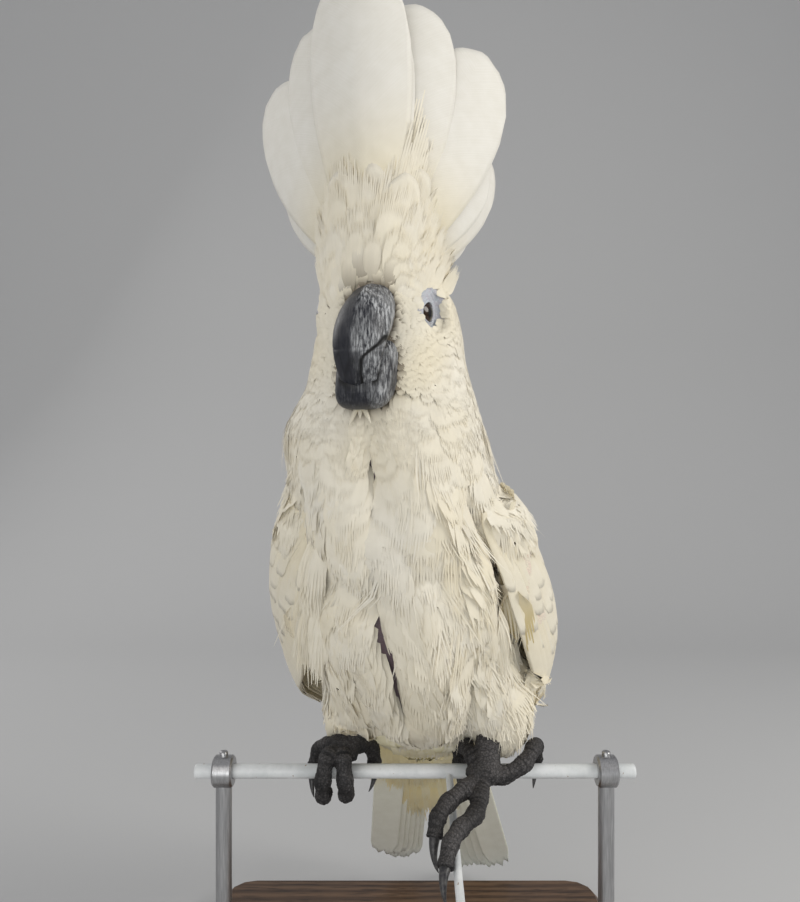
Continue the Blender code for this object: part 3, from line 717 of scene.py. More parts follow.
def lie_of_coat(places, normals, region):
    """The direction that feathers lie in at each place."""
    z = places[:, 2]
    down = np.stack([np.zeros_like(z), body_slope(z), -np.ones_like(z)], -1)
    down = unit(down)
    side, forward, _ = in_head(places)
    # the head: outwards from the bill, bending down behind the cheeks and under the chin
    from_bill = places - BILL_ROOT
    reach = np.linalg.norm(from_bill, axis=1)
    outward = unit(from_bill)
    rise = eased(z, 203, 214)
    crown = unit(np.stack([0 * z, 0 * z + 0.25, 0 * z + 1.0], -1) - HEAD_FORWARD * 0.1)
    facing = unit(mixed(outward, crown, rise[:, None]))
    fall = (eased(reach, 16, 46) * (1 - rise * eased(forward, -24, -6)))[:, None]
    on_head = unit(mixed(facing, down, fall))
    head_share = (region == ON_HEAD)[:, None] * eased(z, 168, 182)[:, None]
    lie = unit(mixed(down, on_head, head_share))
    # the breast: parted down the front, with the plumes drifting outwards on the left
    drift = eased(places[:, 0], -14, 30) * eased(140 - z, 0, 40) * eased(20 - places[:, 1], 0, 30)
    lie = lie + along_x(0.28 * drift) * (region == ON_TRUNK)[:, None]
    offset, half = parting_offset(places)
    push = np.sign(offset) * np.exp(-np.maximum(np.abs(offset) - half, 0) / 5.0) * 0.75
    lie = lie + along_x(push) * (region <= ON_TRUNK)[:, None]
    # the legs: gathered towards the ankle
    for end in LEG_ENDS.values():
        near = (region == ON_LEG) & (np.abs(places[:, 0] - end[0]) < 30)
        lie = np.where(near[:, None], unit(unit(end - places) + np.array([0, 0.1, -0.6])), lie)
    # the wings: along the folded wing
    for number, pitch in ((ON_WING, WING_PITCH["left"]), (ON_RIGHT_WING, WING_PITCH["right"])):
        along = np.array([0, math.sin(pitch), -math.cos(pitch)])
        facing = np.abs(normals @ along)[:, None]
        spread = along + along_x(np.sign(places[:, 0])) * eased(facing, 0.6, 0.9) * 2
        lie = np.where((region == number)[:, None], spread, lie)
    # round the eyes
    for eye in SIDES:
        distance, away = from_eye(places, eye)
        lie = lie + away * np.exp(-np.maximum(distance - RING_RADIUS, 0) / 3.0)[:, None] * 1.2
    wave = ripple(places, 16, SEED)[:, None] * np.cross(normals, lie) * 0.16
    lie = lie + wave
    return unit(lie - dot(lie, normals) * normals)


# ---------------------------------------------------------------- colours and painted gap shade, shared by skin and coat
def belly_edge(x):
    """The height of the belly's lower edge, which comes to a point in the middle."""
    return np.where(np.abs(x - 2.0) < 23, 3.0 + np.abs(x - 2.0) * 0.85, -90.0)


def markings_and_gap_shade(places, region):
    """The plumage's colour at each place, with painted shade in the gap beside the bird's left wing."""
    places = np.atleast_2d(places)
    x, y, z = places.T
    plumed = (region == ON_TRUNK) | (region >= ON_WING)
    warm = 0.32 + 0.25 * ripple(places, 22, SEED + 1)
    warm = warm + 0.35 * eased(z, 198, 216) * eased(250 - z, 0, 30) * eased(-38 - y, 0, 12)
    colour = mixed(WHITE, CREAM, np.clip(warm, 0, 1)[:, None])
    vent = eased(belly_edge(x) - z, 0, 3) * (region == ON_TRUNK)
    colour = mixed(colour, PALE_YELLOW, (0.8 * vent)[:, None])
    inner = (region >= ON_WING) * eased(55 - np.abs(x), 0, 14) * eased(100 - z, 0, 30) * eased(-5 - y, 0, 12)
    colour = mixed(colour, PALE_YELLOW, (0.7 * inner)[:, None])
    # painted shade: the gap beside the bird's left wing is painted dark brown high up and a darker ochre
    # lower down
    gap = (1 - eased(gap_offset(places), -0.8, 2.6)) * plumed * (x > 0)
    shadow = mixed(np.array([0.62, 0.47, 0.14]), GAP_SHADE_BROWN, eased(z, 84, 96)[:, None])
    colour = mixed(colour, shadow, (0.85 * gap)[:, None])
    rim = horn.distance(places)
    stain = (1 - eased(rim, 1.1, 3.0)) * (region <= ON_NECK)
    dirt = (1 - eased(rim, 1.0, 5.0)) * (region <= ON_NECK) * eased(176 - z, 0, 14)
    colour = mixed(colour, np.array([0.55, 0.47, 0.34]), (0.55 * dirt)[:, None])
    return mixed(colour, RIM_BROWN, (0.85 * stain)[:, None])


def skin_colour(places, region):
    """The coat's colours, with painted gap shade, bare blue skin round the eyes and dusky skin in the
    partings.
    """
    colour = markings_and_gap_shade(places, region)
    offset, half = parting_offset(places)
    bare = (1 - eased(np.abs(offset) - half, 0.5, 4.0)) * (region <= ON_TRUNK) * (places[:, 1] < 20)
    colour = mixed(colour, DUSKY_SKIN, bare[:, None])
    for eye in SIDES:
        distance, _ = from_eye(places, eye)
        ring = 1 - eased(distance, RING_RADIUS + 1.0, RING_RADIUS + 3.0)
        colour = mixed(colour, RING_BLUE, ring[:, None])
    return colour


def coat_depth(places, region):
    """How deep the skin lies under the coat's outer surface."""
    depth = np.choose(np.minimum(region, ON_WING), [2.2, 2.7, 2.9, 2.2, 1.6]).astype(float)
    depth = np.where(region == ON_HEAD, depth - 0.8 * (1 - eased(horn.distance(places), 2, 12)), depth)
    for eye in SIDES:
        distance, _ = from_eye(places, eye)
        depth = depth * (0.25 + 0.75 * eased(distance, RING_RADIUS, RING_RADIUS + 8))
    return depth


# ---------------------------------------------------------------- skin with its lids
def lid_grid(side, skin_surface):
    """Fine rings of skin from the edge of the lids out to the plumage, round one eye."""
    centre, aim = EYES[side], EYE_AIM[side]
    upward = unit(UP - dot(UP, aim) * aim)
    across = np.cross(upward, aim)
    turns, rings = 72, 26
    rows = []
    for r in range(rings):
        share = r / (rings - 1)
        row = []
        for angle in full_turn(turns).tolist():
            wide, tall = 4.9, 3.7 + 0.25 * math.sin(angle)
            opening = 1 / math.hypot(math.cos(angle) / wide, math.sin(angle) / tall)
            out = opening + (9.2 - opening) * share**1.15
            if r == 0:
                out, shell = opening + 0.25, EYE_RADIUS - 0.15
            elif r == 1:
                out, shell = opening - 0.05, EYE_RADIUS + 0.35
            else:
                shell = EYE_RADIUS + 0.95
            height = math.sqrt(max(shell**2 - out**2, 0.0)) if out < shell * 0.92 else None
            plane = math.sqrt((EYE_RADIUS + 0.95) ** 2 - 5.0**2) - 0.28 * (out - 5.0)
            if height is None or out > 5.0:
                height = plane
            wrinkle = 0.16 * math.sin(2 * math.pi * (out - opening) / 1.15 + 1.5 * math.sin(3 * angle))
            wrinkle += 0.10 * math.sin(17 * angle + 3 * share) * share
            height += wrinkle * float(eased(share, 0.06, 0.2)) * float(1 - eased(share, 0.75, 0.95))
            direction = across * math.cos(angle) + upward * math.sin(angle)
            place = centre + direction * out + aim * height
            if out > 6.2:
                start = centre + direction * out + aim * 25
                hit = skin_surface.tree.ray_cast(Vector(start), Vector(-aim), 50)[0]
                if hit is not None:
                    sunk = np.array(hit) - aim * 0.5
                    place = mixed(place, sunk, float(eased(out, 6.2, 8.2)))
            row.append(place)
        rows.append(row)
    return np.array(rows)


def build_skin(skin):
    """One skin for all the flesh, sunk below the coat, with its lids joined on."""
    region = region_of(coat.points)
    depth = coat_depth(coat.points, region)
    inward = -coat.point_normals
    thickness = np.full(len(depth), 60.0)
    for i in np.nonzero(region >= ON_LEG)[0].tolist():
        start = Vector(coat.points[i] + inward[i] * 0.3)
        hit = coat.tree.ray_cast(start, Vector(inward[i]), 60)
        if hit[0] is not None:
            thickness[i] = hit[3]
    sunk = coat.points + inward * np.minimum(depth, 0.36 * thickness)[:, None]
    under = Surface(sunk, coat.faces)
    places, faces = [sunk], coat.faces.tolist()
    start = len(sunk)
    for side in SIDES:
        grid = lid_grid(side, under)
        rings, turns = grid.shape[:2]
        places.append(grid.reshape(-1, 3))
        quads = grid_faces(rings, turns, closed=True)
        faces += ((quads[:, ::-1] if side == "left" else quads) + start).tolist()
        start += rings * turns
    places = np.concatenate(places)
    # the voxel skin under each eye sinks out of the ball's way
    for side in SIDES:
        gap = places[: len(sunk)] - EYES[side]
        along = gap @ EYE_AIM[side]
        radial = np.linalg.norm(gap - along[:, None] * EYE_AIM[side], axis=1)
        near = (1 - eased(radial, 7.0, 8.8)) * (along > -2)
        places[: len(sunk)] -= EYE_AIM[side] * (near * np.maximum(along + 1.0, 0))[:, None]
    made = mesh_piece("skin", places, faces, skin, FLESH)
    paint(made.data, "Tint", skin_colour(places, region_of(places)))
    return under


def build_eyes(skin):
    for side in SIDES:
        aim = EYE_AIM[side]
        upward = unit(UP - dot(UP, aim) * aim)
        across = np.cross(aim, upward)
        tilts = math.pi * (np.arange(EYE_RINGS) + 0.02) / (EYE_RINGS - 0.96)
        rings = []
        for tilt in tilts.tolist():
            bulge = EYE_RADIUS + 0.3 * math.exp(-((tilt / 0.55) ** 2))
            ring = []
            for turn in full_turn(EYE_SIDES).tolist():
                flat = across * math.cos(turn) + upward * math.sin(turn)
                ring.append(EYES[side] + aim * bulge * math.cos(tilt) + flat * bulge * math.sin(tilt))
            rings.append(ring)
        made = tube_mesh(f"eyeball_{side}", rings, skin, [f"eye_{side}"])
        tilt = np.repeat(tilts, EYE_SIDES)
        pupil, iris = np.array([0.004, 0.004, 0.005]), np.array([0.030, 0.014, 0.008])
        paint(made.data, "Tint", mixed(pupil, iris, eased(tilt, 0.33, 0.38)[:, None]))


# ---------------------------------------------------------------- feathers
class Barbs:
    """Collects vanes as joined meshes: places, quads, tints, vane coordinates and bake patches."""

    def __init__(self):
        self.places, self.quads, self.tints, self.vanes, self.bakes = [], [], [], [], []
        self.count = 0

    def add(self, places, quads, tints, vanes, bakes):
        self.places.append(places)
        self.quads.append(quads + self.count)
        self.tints.append(tints)
        self.vanes.append(vanes)
        self.bakes.append(bakes)
        self.count += len(places)

    def piece(self, name, skin, replaces=()):
        places = np.concatenate(self.places)
        made = mesh_piece(name, places, np.concatenate(self.quads), skin, replaces)
        paint(made.data, "Tint", np.concatenate(self.tints))
        lay_uv(made.data, "OFBake", np.concatenate(self.bakes))
        lay_uv(made.data, "Vane", np.concatenate(self.vanes))
        return made


WRAP_RADIUS = 26.0  # how tightly a soft feather curls down at its sides
PATCH = 0.003  # how wide a vane's patch is on the bake map
PIECE_TRIANGLES = 180000  # the most triangles in one piece of coat
BAKE_LOW, BAKE_HIGH = -130.0, 360.0  # heights from the rail that the bake map spans
BAKE_STRIPS = [(0.01, 0.56), (0.59, 0.12), (0.73, 0.12), (0.87, 0.12)]  # each sheet's left edge and width


def unwrap(places, sheet=0):
    """Places on the bake map: round the body and along it. Each sheet is a strip of its own."""
    z = places[..., 2]
    centre_y = -41 + (196 - z) * 0.42
    angle = np.arctan2(places[..., 0] + 8, -(places[..., 1] - centre_y))
    u = 0.5 + angle / (2 * math.pi)
    v = (z - BAKE_LOW) / (BAKE_HIGH - BAKE_LOW)
    left, width = BAKE_STRIPS[sheet]
    return np.stack([left + np.clip(u, 0, 1) * (width - PATCH), 0.01 + np.clip(v, 0, 1) * 0.97], -1)


class Path:
    """For a number of feathers, frames along each: places, normals and sideways directions."""

    def __init__(self, places, normals):
        self.places, self.normals = places, normals
        steps = np.diff(places, axis=1)
        ahead = unit(np.concatenate([steps, steps[:, -1:]], axis=1))
        self.sides = unit(np.cross(ahead, normals))
        self.rows = places.shape[1]

    def at(self, share):
        """Place, normal and side at shares of the length, for arrays whose first axis is the feather."""
        scaled = share * (self.rows - 1)
        index = np.clip(scaled.astype(int), 0, self.rows - 2)
        t = (scaled - index)[..., None]
        which = np.arange(len(self.places)).reshape((-1,) + (1,) * (share.ndim - 1))
        low, high = index, index + 1
        place = self.places[which, low] * (1 - t) + self.places[which, high] * t
        t = np.clip(t, 0, 1)
        normal = self.normals[which, low] * (1 - t) + self.normals[which, high] * t
        side = self.sides[which, low] * (1 - t) + self.sides[which, high] * t
        return place, unit(normal), unit(side)


def march(surface, roots, lengths, region, rows, turn):
    """Paths that start at the roots and follow the lie of the coat over the surface."""
    places, normals, _ = surface.nearest(roots)
    all_places, all_normals = [places], [normals]
    heading = None
    for _ in range(rows - 1):
        lie = lie_of_coat(places, normals, region)
        lie = unit(lie + np.cross(normals, lie) * turn[:, None])
        heading = lie if heading is None else unit(heading * 0.45 + lie * 0.55)
        target = places + heading * (lengths / (rows - 1))[:, None]
        places, normals, _ = surface.nearest(target)
        all_places.append(places)
        all_normals.append(normals)
    return Path(np.stack(all_places, 1), np.stack(all_normals, 1))


def soft_feathers(barbs, path, length, width, depth, lift, root_tint, tip_tint, rng, columns=12, rows=5,
                  fray=0.09, sheet=0, fringe=0.20, curl=0.0, groove=0.03, slope=0.20):
    """Soft feathers, each a smooth thin vane whose barbs part into a fringe at its rounded end."""
    count = len(length)
    lines = np.linspace(-1, 1, columns + 1)
    middles = (lines[:-1] + lines[1:]) / 2
    tips = np.repeat(middles, 2) + np.tile([-0.42, 0.42], columns) / columns

    def rounded(across):
        return 0.60 + 0.40 * np.sqrt(np.clip(1 - np.abs(across) ** 2.2, 0, 1))

    whole = np.linspace(0, 1, rows)[:, None] * (rounded(lines) * (1 - fringe))[None, :]
    across = np.concatenate([np.tile(lines, rows), tips])
    share = np.concatenate([whole.reshape(-1), rounded(tips)])[None, :] * np.ones((count, 1))
    torn = np.repeat(rng.normal(0, fray, (count, columns)), 2, axis=1)
    share[:, -2 * columns :] *= 1 + torn
    aside = np.repeat(rng.normal(0, 0.3 / columns, (count, columns)), 2, axis=1)
    across = across[None, :] + np.concatenate([np.zeros((count, rows * (columns + 1))), aside], axis=1)
    ridge = rng.normal(0, groove, (count, columns + 1))
    at_tips = np.repeat((ridge[:, :-1] + ridge[:, 1:]) / 2, 2, axis=1)
    ridge = np.concatenate([np.tile(ridge, rows), at_tips], axis=1)
    half = (width / 2)[:, None]
    spread = 0.34 + 0.66 * np.sin(np.clip(share / 0.6, 0, 1) * math.pi / 2)
    sideways = across * spread * half + (curl + 0 * length)[:, None] * length[:, None] * share**2
    place, normal, side = path.at(np.clip(share, 0, 1.3))
    left = 1 - np.clip(share, 0, 1)
    rise = -depth[:, None] * (slope * left + (1 - slope) * left**6) + lift[:, None] * share**2
    rise = rise - (across * spread * half) ** 2 / (2 * WRAP_RADIUS) + ridge * share
    points = place + side * sideways[..., None] + normal * rise[..., None]
    step = columns + 1
    sheet_quads = [[r * step + k, r * step + k + 1, (r + 1) * step + k + 1, (r + 1) * step + k]
                   for r in range(rows - 1) for k in range(columns)]
    last, first_tip = (rows - 1) * step, rows * step
    tip_quads = [[last + k, last + k + 1, first_tip + 2 * k + 1, first_tip + 2 * k] for k in range(columns)]
    quads = np.array(sheet_quads + tip_quads)[None] + (np.arange(count) * share.shape[1])[:, None, None]
    tone = 1 + rng.normal(0, 0.012, (count, 1, 1)) + (0.35 * ridge)[..., None]
    blend = np.clip(share * 1.2, 0, 1)[..., None]
    tints = np.clip(mixed(root_tint[:, None, :], tip_tint[:, None, :], blend) * tone, 0, 1)
    vane_uv = np.stack([0.5 + across * 0.45, np.clip(share, 0, 1)], -1)
    bake = unwrap(path.places[:, 0], sheet)[:, None, :] + np.clip(vane_uv, 0, 1) * PATCH
    barbs.add(points.reshape(-1, 3), quads.reshape(-1, 4), tints.reshape(-1, 3), vane_uv.reshape(-1, 2),
              bake.reshape(-1, 2))


def strings(barbs, path, length, width, depth, lift, root_tint, tip_tint, rng, strips=16, rows=4,
            fray=0.12, sheet=0, loose=0.0, curl=0.0, fine=1.45, tilted=0.05):
    """Loose feathers, each a fan of narrow barb strips from the shaft to the feather's edge."""
    count = len(length)
    across = np.linspace(-1, 1, strips)[None, :, None] + rng.normal(0, 0.06, (count, strips, 1))
    grow = np.linspace(0, 1, rows)[None, None, :]
    edge = 0.66 + 0.34 * np.sqrt(np.clip(1 - across**2, 0, 1))
    end = edge * (1 + rng.normal(0, fray, (count, strips, 1)))
    share = np.clip(grow * end, 0, 1.25) + 0 * across
    spread = 0.25 + 0.75 * np.sin(np.clip(grow / 0.7, 0, 1) * math.pi / 2)
    half = (width / 2)[:, None, None]
    sideways = across * spread * half
    sideways = sideways + (curl + 0 * length)[:, None, None] * length[:, None, None] * share**2
    place, normal, side = path.at(share)
    rise = -depth[:, None, None] * (1 - np.clip(share, 0, 1)) ** 2.6 + lift[:, None, None] * share**2
    rise = rise - 0.07 * half * across**2 * spread
    rise = rise + rng.normal(0, 0.045, (count, strips, 1)) * (0.3 + share)
    rise = rise + loose * rng.normal(0, 1, (count, strips, 1)) * share**2
    sideways = sideways + loose * rng.normal(0, 1, (count, strips, 1)) * share**2
    centre = place + side * sideways[..., None] + normal * rise[..., None]
    taper = 1 - 0.92 * np.clip((grow - 0.45) / 0.55, 0, 1) ** 1.6
    own = half / strips * fine * taper * (0.55 + 0.45 * spread)
    tilt = normal * (rng.normal(0, tilted, (count, strips, 1)) * own)[..., None]
    left = centre - side * own[..., None] - tilt
    right = centre + side * own[..., None] + tilt
    points = np.stack([left, right], axis=-2)
    total = count * strips * rows * 2
    base = np.arange(count * strips)[:, None, None] * rows * 2
    i = np.arange(rows - 1)[None, :, None] * 2
    quads = (base + i + np.array([0, 1, 3, 2])[None, None, :]).reshape(-1, 4)
    tone = 1 + rng.normal(0, 0.009, (count, strips, 1, 1, 1))
    blend = np.clip(share * 1.3, 0, 1)[..., None, None]
    tints = mixed(root_tint[:, None, None, None, :], tip_tint[:, None, None, None, :], blend)
    tints = np.clip(tints * tone * np.ones((1, 1, 1, 2, 1)), 0, 1)
    vane = np.stack(np.broadcast_arrays(0.5 + across * 0.45 + 0 * share, np.clip(share, 0, 1)), -1)
    vane = np.repeat(vane[..., None, :], 2, axis=-2)
    bake = unwrap(path.places[:, 0], sheet)[:, None, None, None, :] + vane * PATCH
    barbs.add(points.reshape(total, 3), quads, tints.reshape(total, 3), vane.reshape(total, 2),
              bake.reshape(total, 2))


def thinned(places, spacing, rng, busy=1.0):
    """Indices of places, picked in random order so that no two are nearer than their spacing."""
    order = rng.permutation(len(places))
    cell = float(spacing.max()) * busy
    taken, kept = {}, []
    keys = np.floor(places / cell).astype(int)
    points, gaps, cells = places.tolist(), (spacing * busy).tolist(), keys.tolist()
    around = [(a, b, c) for a in (-1, 0, 1) for b in (-1, 0, 1) for c in (-1, 0, 1)]
    for i in order.tolist():
        x, y, z = points[i]
        cx, cy, cz = cells[i]
        limit = gaps[i] ** 2
        near = (p for a, b, c in around for p in taken.get((cx + a, cy + b, cz + c), ()))
        if all((px - x) ** 2 + (py - y) ** 2 + (pz - z) ** 2 >= limit for px, py, pz in near):
            taken.setdefault((cx, cy, cz), []).append((x, y, z))
            kept.append(i)
    return np.array(kept)


def plume_size(places, region):
    """Length, width and spacing of the body's feathers at each place."""
    side, forward, z = in_head(places)
    bill = horn.distance(places)
    eye = np.minimum(from_eye(places, "left")[0], from_eye(places, "right")[0])
    face = np.minimum(eased(bill, 0, 34), eased(eye, RING_RADIUS, RING_RADIUS + 24))
    length = mixed(3.4, 17.0, face)
    length = np.where(region == ON_NECK, mixed(17.0, 27.0, eased(172 - z, 0, 34)), length)
    length = np.where(region == ON_NECK, mixed(9.0, length, eased(bill, 4, 24)), length)
    length = np.where(region == ON_TRUNK, 29.0, length)
    shoulder = (region == ON_TRUNK) * eased(np.abs(places[:, 0] + 5), 30, 42) * eased(z, 92, 108)
    length = length - 7.0 * shoulder
    length = np.where(region == ON_LEG, mixed(12.0, 19.0, eased(z, 14, 40)), length)
    length = np.where(region >= ON_WING, 13.0, length)
    crown = eased(z, 200, 222) * (region == ON_HEAD) * eased(forward, -22, 4)
    length = length + 16 * crown
    width = np.where(region == ON_HEAD, 1.8 + 0.48 * length, 0.60 * length)
    spacing = np.where(region == ON_HEAD, 0.75 + 0.14 * length, 0.17 * length)
    return length, width, spacing


def gathered(path, roots, region, rng):
    """Draws the feathers' ends together into locks, each with a centre line of its own."""
    loose = np.nonzero((region == ON_NECK) | (region == ON_TRUNK))[0]
    spots = loose[thinned(roots[loose], np.full(len(loose), 15.0), rng)]
    spines = march(coat, roots[spots], np.full(len(spots), 46.0), region[spots], 6, 0 * spots)
    fine = np.linspace(0, 1, 14)[None, :].repeat(len(spots), 0)
    lines, _, _ = spines.at(fine)
    middles = lines[:, 3]
    raised = rng.random(len(spots))
    mids = path.places[:, 1]
    nearest = np.linalg.norm(mids[loose][:, None] - middles[None], axis=-1).argmin(axis=1)
    line = lines[nearest]
    for row in range(1, path.rows):
        share = row / (path.rows - 1)
        here = path.places[loose, row]
        gap = line - here[:, None]
        closest = np.linalg.norm(gap, axis=-1).argmin(axis=1)
        pull = gap[np.arange(len(loose)), closest]
        reach = np.linalg.norm(pull, axis=1, keepdims=True)
        pull = pull * np.clip(1.4 - reach / 14, 0, 1)
        path.places[loose, row], path.normals[loose, row], _ = coat.nearest(here + pull * 0.30 * share**1.5)
    lift = np.zeros(len(roots))
    lift[loose] = raised[nearest]
    return Path(path.places, path.normals), lift


def build_coat(skin, rng):
    """The body's soft feathers: tiny on the face, longer down the neck, breast, back and legs."""
    places, index = coat.scatter(BODY_SEEDS, rng)
    normals = coat.face_normals[index]
    region = region_of(places)
    axis = np.array([0, math.sin(WING_PITCH["left"]), -math.cos(WING_PITCH["left"])])
    arm = (places - WING_WRIST) @ axis
    end_face = (region >= ON_WING) & (np.abs(normals @ axis) > 0.5)
    length, width, spacing = plume_size(places, region)
    outer = (region >= ON_WING) & (places[:, 0] * normals[:, 0] > 0)
    keep = ~(end_face & (arm > 40)) & ~((region >= ON_WING) & (arm > 58)) & ~(outer & (arm > 22))
    keep &= ~((region >= ON_WING) & (gap_offset(places) < 3.0))
    for eye in SIDES:
        keep &= from_eye(places, eye)[0] > RING_RADIUS - 0.3
    offset, half = parting_offset(places)
    keep &= ~((np.abs(offset) < half) & (region <= ON_TRUNK))
    # no feathers in the gap beside the bird's left wing, where the skin below is painted with shade
    keep &= (gap_offset(places) > 0) | (places[:, 0] < 0)
    keep &= horn.distance(places) > 0.4
    keep &= ~under_coverts(places)
    pick = np.nonzero(keep)[0]
    pick = pick[thinned(places[pick], spacing[pick], rng)]
    roots, region = places[pick], region[pick]
    length = length[pick] * rng.uniform(0.85, 1.15, len(pick))
    width = width[pick] * rng.uniform(0.85, 1.15, len(pick))
    path = march(coat, roots, length, region, 5, rng.normal(0, 0.07, len(pick)))
    path, lock = gathered(path, roots, region, rng)
    clear = np.ones(len(pick), bool)
    for row in range(1, 5):
        offset, half = parting_offset(path.places[:, row])
        clear &= (np.abs(offset) > 0.7 * half) | (region > ON_TRUNK)
        clear &= (gap_offset(path.places[:, row]) > -0.9) | (roots[:, 0] < 0)
    for eye in SIDES:
        for row in range(1, 5):
            clear &= from_eye(path.places[:, row], eye)[0] > RING_RADIUS - 0.5
    for row in (2, 4):
        near = region <= ON_NECK
        clear[near] &= horn.distance(path.places[near, row]) > 0.3
    depth = np.minimum(coat_depth(roots, region), 0.30 * length) * 0.95
    ragged = ripple(roots, 9, SEED + 2)
    lift = np.choose(np.minimum(region, ON_WING), [0.02, 0.10, 0.12, 0.2, 0.05])
    lift = lift * (1 + 0.7 * np.clip(ragged, -1, 1.5))
    stringy = eased(roots[:, 0], -16, 14) * eased(roots[:, 2], 20, 50) * eased(160 - roots[:, 2], 0, 30)
    stringy = stringy * (region == ON_TRUNK) * eased(-normals[pick][:, 1], -0.1, 0.4)
    lift = lift * np.clip(length / 16, 0.25, 1.4) + lock * (0.15 + 1.3 * stringy) * (region > ON_HEAD)
    root_tint, tip_tint = markings_and_gap_shade(roots, region), markings_and_gap_shade(path.places[:, 3], region)
    groups = {
        "coat_face": (region == ON_HEAD) & (length < 8.5),
        "coat_head": (region == ON_HEAD) & (length >= 8.5),
        "coat_neck": region == ON_NECK,
        "coat_breast": (region == ON_TRUNK) & (path.normals[:, 0, 1] < 0.1),
        "coat_back": (region == ON_TRUNK) & (path.normals[:, 0, 1] >= 0.1),
        "coat_legs": region == ON_LEG,
        "coat_wing_edges": region >= ON_WING,
    }
    detail = {"coat_face": (6, 3), "coat_head": (12, 4), "coat_legs": (14, 4), "coat_wing_edges": (10, 4)}
    for name, group in groups.items():
        which = np.nonzero(group & clear)[0]
        columns, rows = detail.get(name, (16, 5))
        most = PIECE_TRIANGLES // (columns * rows * 2)
        for part, start in enumerate(range(0, len(which), most)):
            some = which[start : start + most]
            barbs = Barbs()
            soft_feathers(barbs, Path(path.places[some], path.normals[some]), length[some], width[some],
                          depth[some], lift[some], root_tint[some], tip_tint[some], rng, columns, rows,
                          slope=0.12 if name in ("coat_face", "coat_head") else 0.20)
            barbs.piece(name if part == 0 else f"{name}_{part + 1}", skin)
    build_strands(skin, rng, roots, region, stringy)


def build_strands(skin, rng, roots, region, stringy):
    """Loose, thread-like plumes over the breast and flanks, where the coat hangs in strings."""
    flank = (region == ON_TRUNK) * eased(-roots[:, 1], -30, 10) * eased(112 - roots[:, 2], 0, 20)
    flank = flank * eased(np.abs(roots[:, 0] + 8), 22, 36)
    chance = np.clip(stringy * 0.8 + flank * 1.2 + 0.04 * (region == ON_NECK), 0, 1)
    chance = chance * (horn.distance(roots) > 14) * (np.abs(parting_offset(roots)[0]) > 8)
    some = np.nonzero(rng.random(len(roots)) < 0.6 * chance)[0]
    length = rng.uniform(26, 44, len(some))
    path = march(coat, roots[some], length, region[some], 6, rng.normal(0, 0.28, len(some)))
    tint = markings_and_gap_shade(roots[some], region[some])
    barbs = Barbs()
    strings(barbs, path, length, rng.uniform(3.0, 7.5, len(some)), np.full(len(some), 1.0),
            rng.uniform(0.8, 3.0, len(some)), tint, tint, rng, 6, 6, 0.16, 0, 0.45,
            rng.normal(0, 0.10, len(some)), 0.8, 0.2)
    barbs.piece("breast_strands", skin)


# soft locks that hang from the flanks beside the wings: range of x and z, lean outwards, length, and how many
FLANK_LOCKS = [((-46, -38), (76, 108), -0.06, (24, 36), 30), ((33, 45), (52, 80), 0.10, (22, 34), 24)]


def build_flank_locks(skin, rng):
    """Long soft feathers that hang free over the inner edge of each wing and the thigh."""
    barbs, loose = Barbs(), Barbs()
    for (x0, x1), (z0, z1), lean, (short, long), count in FLANK_LOCKS:
        start = np.stack([rng.uniform(x0, x1, count), np.full(count, -90.0), rng.uniform(z0, z1, count)], -1)
        roots = []
        for place in start:
            hit = coat.tree.ray_cast(Vector(place), Vector((0, 1, 0)), 200)
            if hit[0] is not None and hit[0][1] < 30:
                roots.append(np.array(hit[0]))
        roots = np.array(roots)
        count = len(roots)
        length = rng.uniform(short, long, count)
        slope = body_slope(roots[:, 2] - 25)
        heading = np.stack([lean + rng.normal(0, 0.05, count), slope, -np.ones(count)], -1)
        heading = unit(heading)
        aim = np.array([2.5 * lean, -1.0, 0.1])
        face = unit(aim - dot(aim, heading) * heading)
        s = np.linspace(0, 1, 6)[None, :, None]
        lift = 0.4 + 2.0 * np.sin(np.pi * s * 0.6)
        line = roots[:, None] + heading[:, None] * s * length[:, None, None] + face[:, None] * lift
        path = Path(line, np.repeat(face[:, None], 6, 1))
        tint = mixed(WHITE, CREAM, rng.uniform(0.1, 0.5, (count, 1)))
        soft_feathers(barbs, path, length, rng.uniform(7, 11, count), np.full(count, 2.0), np.zeros(count),
                      tint, tint, rng, 12, 6, 0.12, 0, 0.34, rng.normal(0, 0.03, count))
        strings(loose, path, length * 1.04, rng.uniform(5, 9, count), np.full(count, 1.5),
                rng.uniform(0.3, 1.5, count), tint, tint, rng, 6, 6, 0.14, 0, 0.4, rng.normal(0, 0.07, count),
                0.8, 0.2)
    barbs.piece("flank_locks", skin)
    loose.piece("flank_strands", skin)


# ---------------------------------------------------------------- large feathers
def leaf(barbs, middle, normals, share, across, thick, tint, rng, start):
    """A closed thin plate round a grid of middle points, rows along the feather and columns across it."""
    rows, columns = share.shape
    out = (thick / 2 * (1 - 0.6 * across**2))[..., None]
    top, under = middle + normals * out, middle - normals * out
    faces = grid_faces(rows, columns)
    shift = rows * columns
    edge = list(range(columns)) + [i * columns + columns - 1 for i in range(1, rows)]
    edge += list(range(rows * columns - 2, (rows - 1) * columns - 1, -1))
    edge += [i * columns for i in range(rows - 2, 0, -1)]
    rim = np.array([[a, b, b + shift, a + shift] for a, b in zip(edge, edge[1:] + edge[:1])])
    quads = np.concatenate([faces[:, ::-1], faces + shift, rim])
    uv = np.stack(np.broadcast_arrays(0.5 + across * 0.5, share), -1).reshape(-1, 2)
    uv = np.clip(np.concatenate([uv, uv]), 0, 1)
    tints = tint(share.reshape(-1), across.reshape(-1))
    tints = np.clip(np.concatenate([tints, tints]) * (1 + rng.normal(0, 0.012)), 0, 1)
    places = np.concatenate([top.reshape(-1, 3), under.reshape(-1, 3)])
    barbs.add(places, quads, tints, uv, start + uv * PATCH)


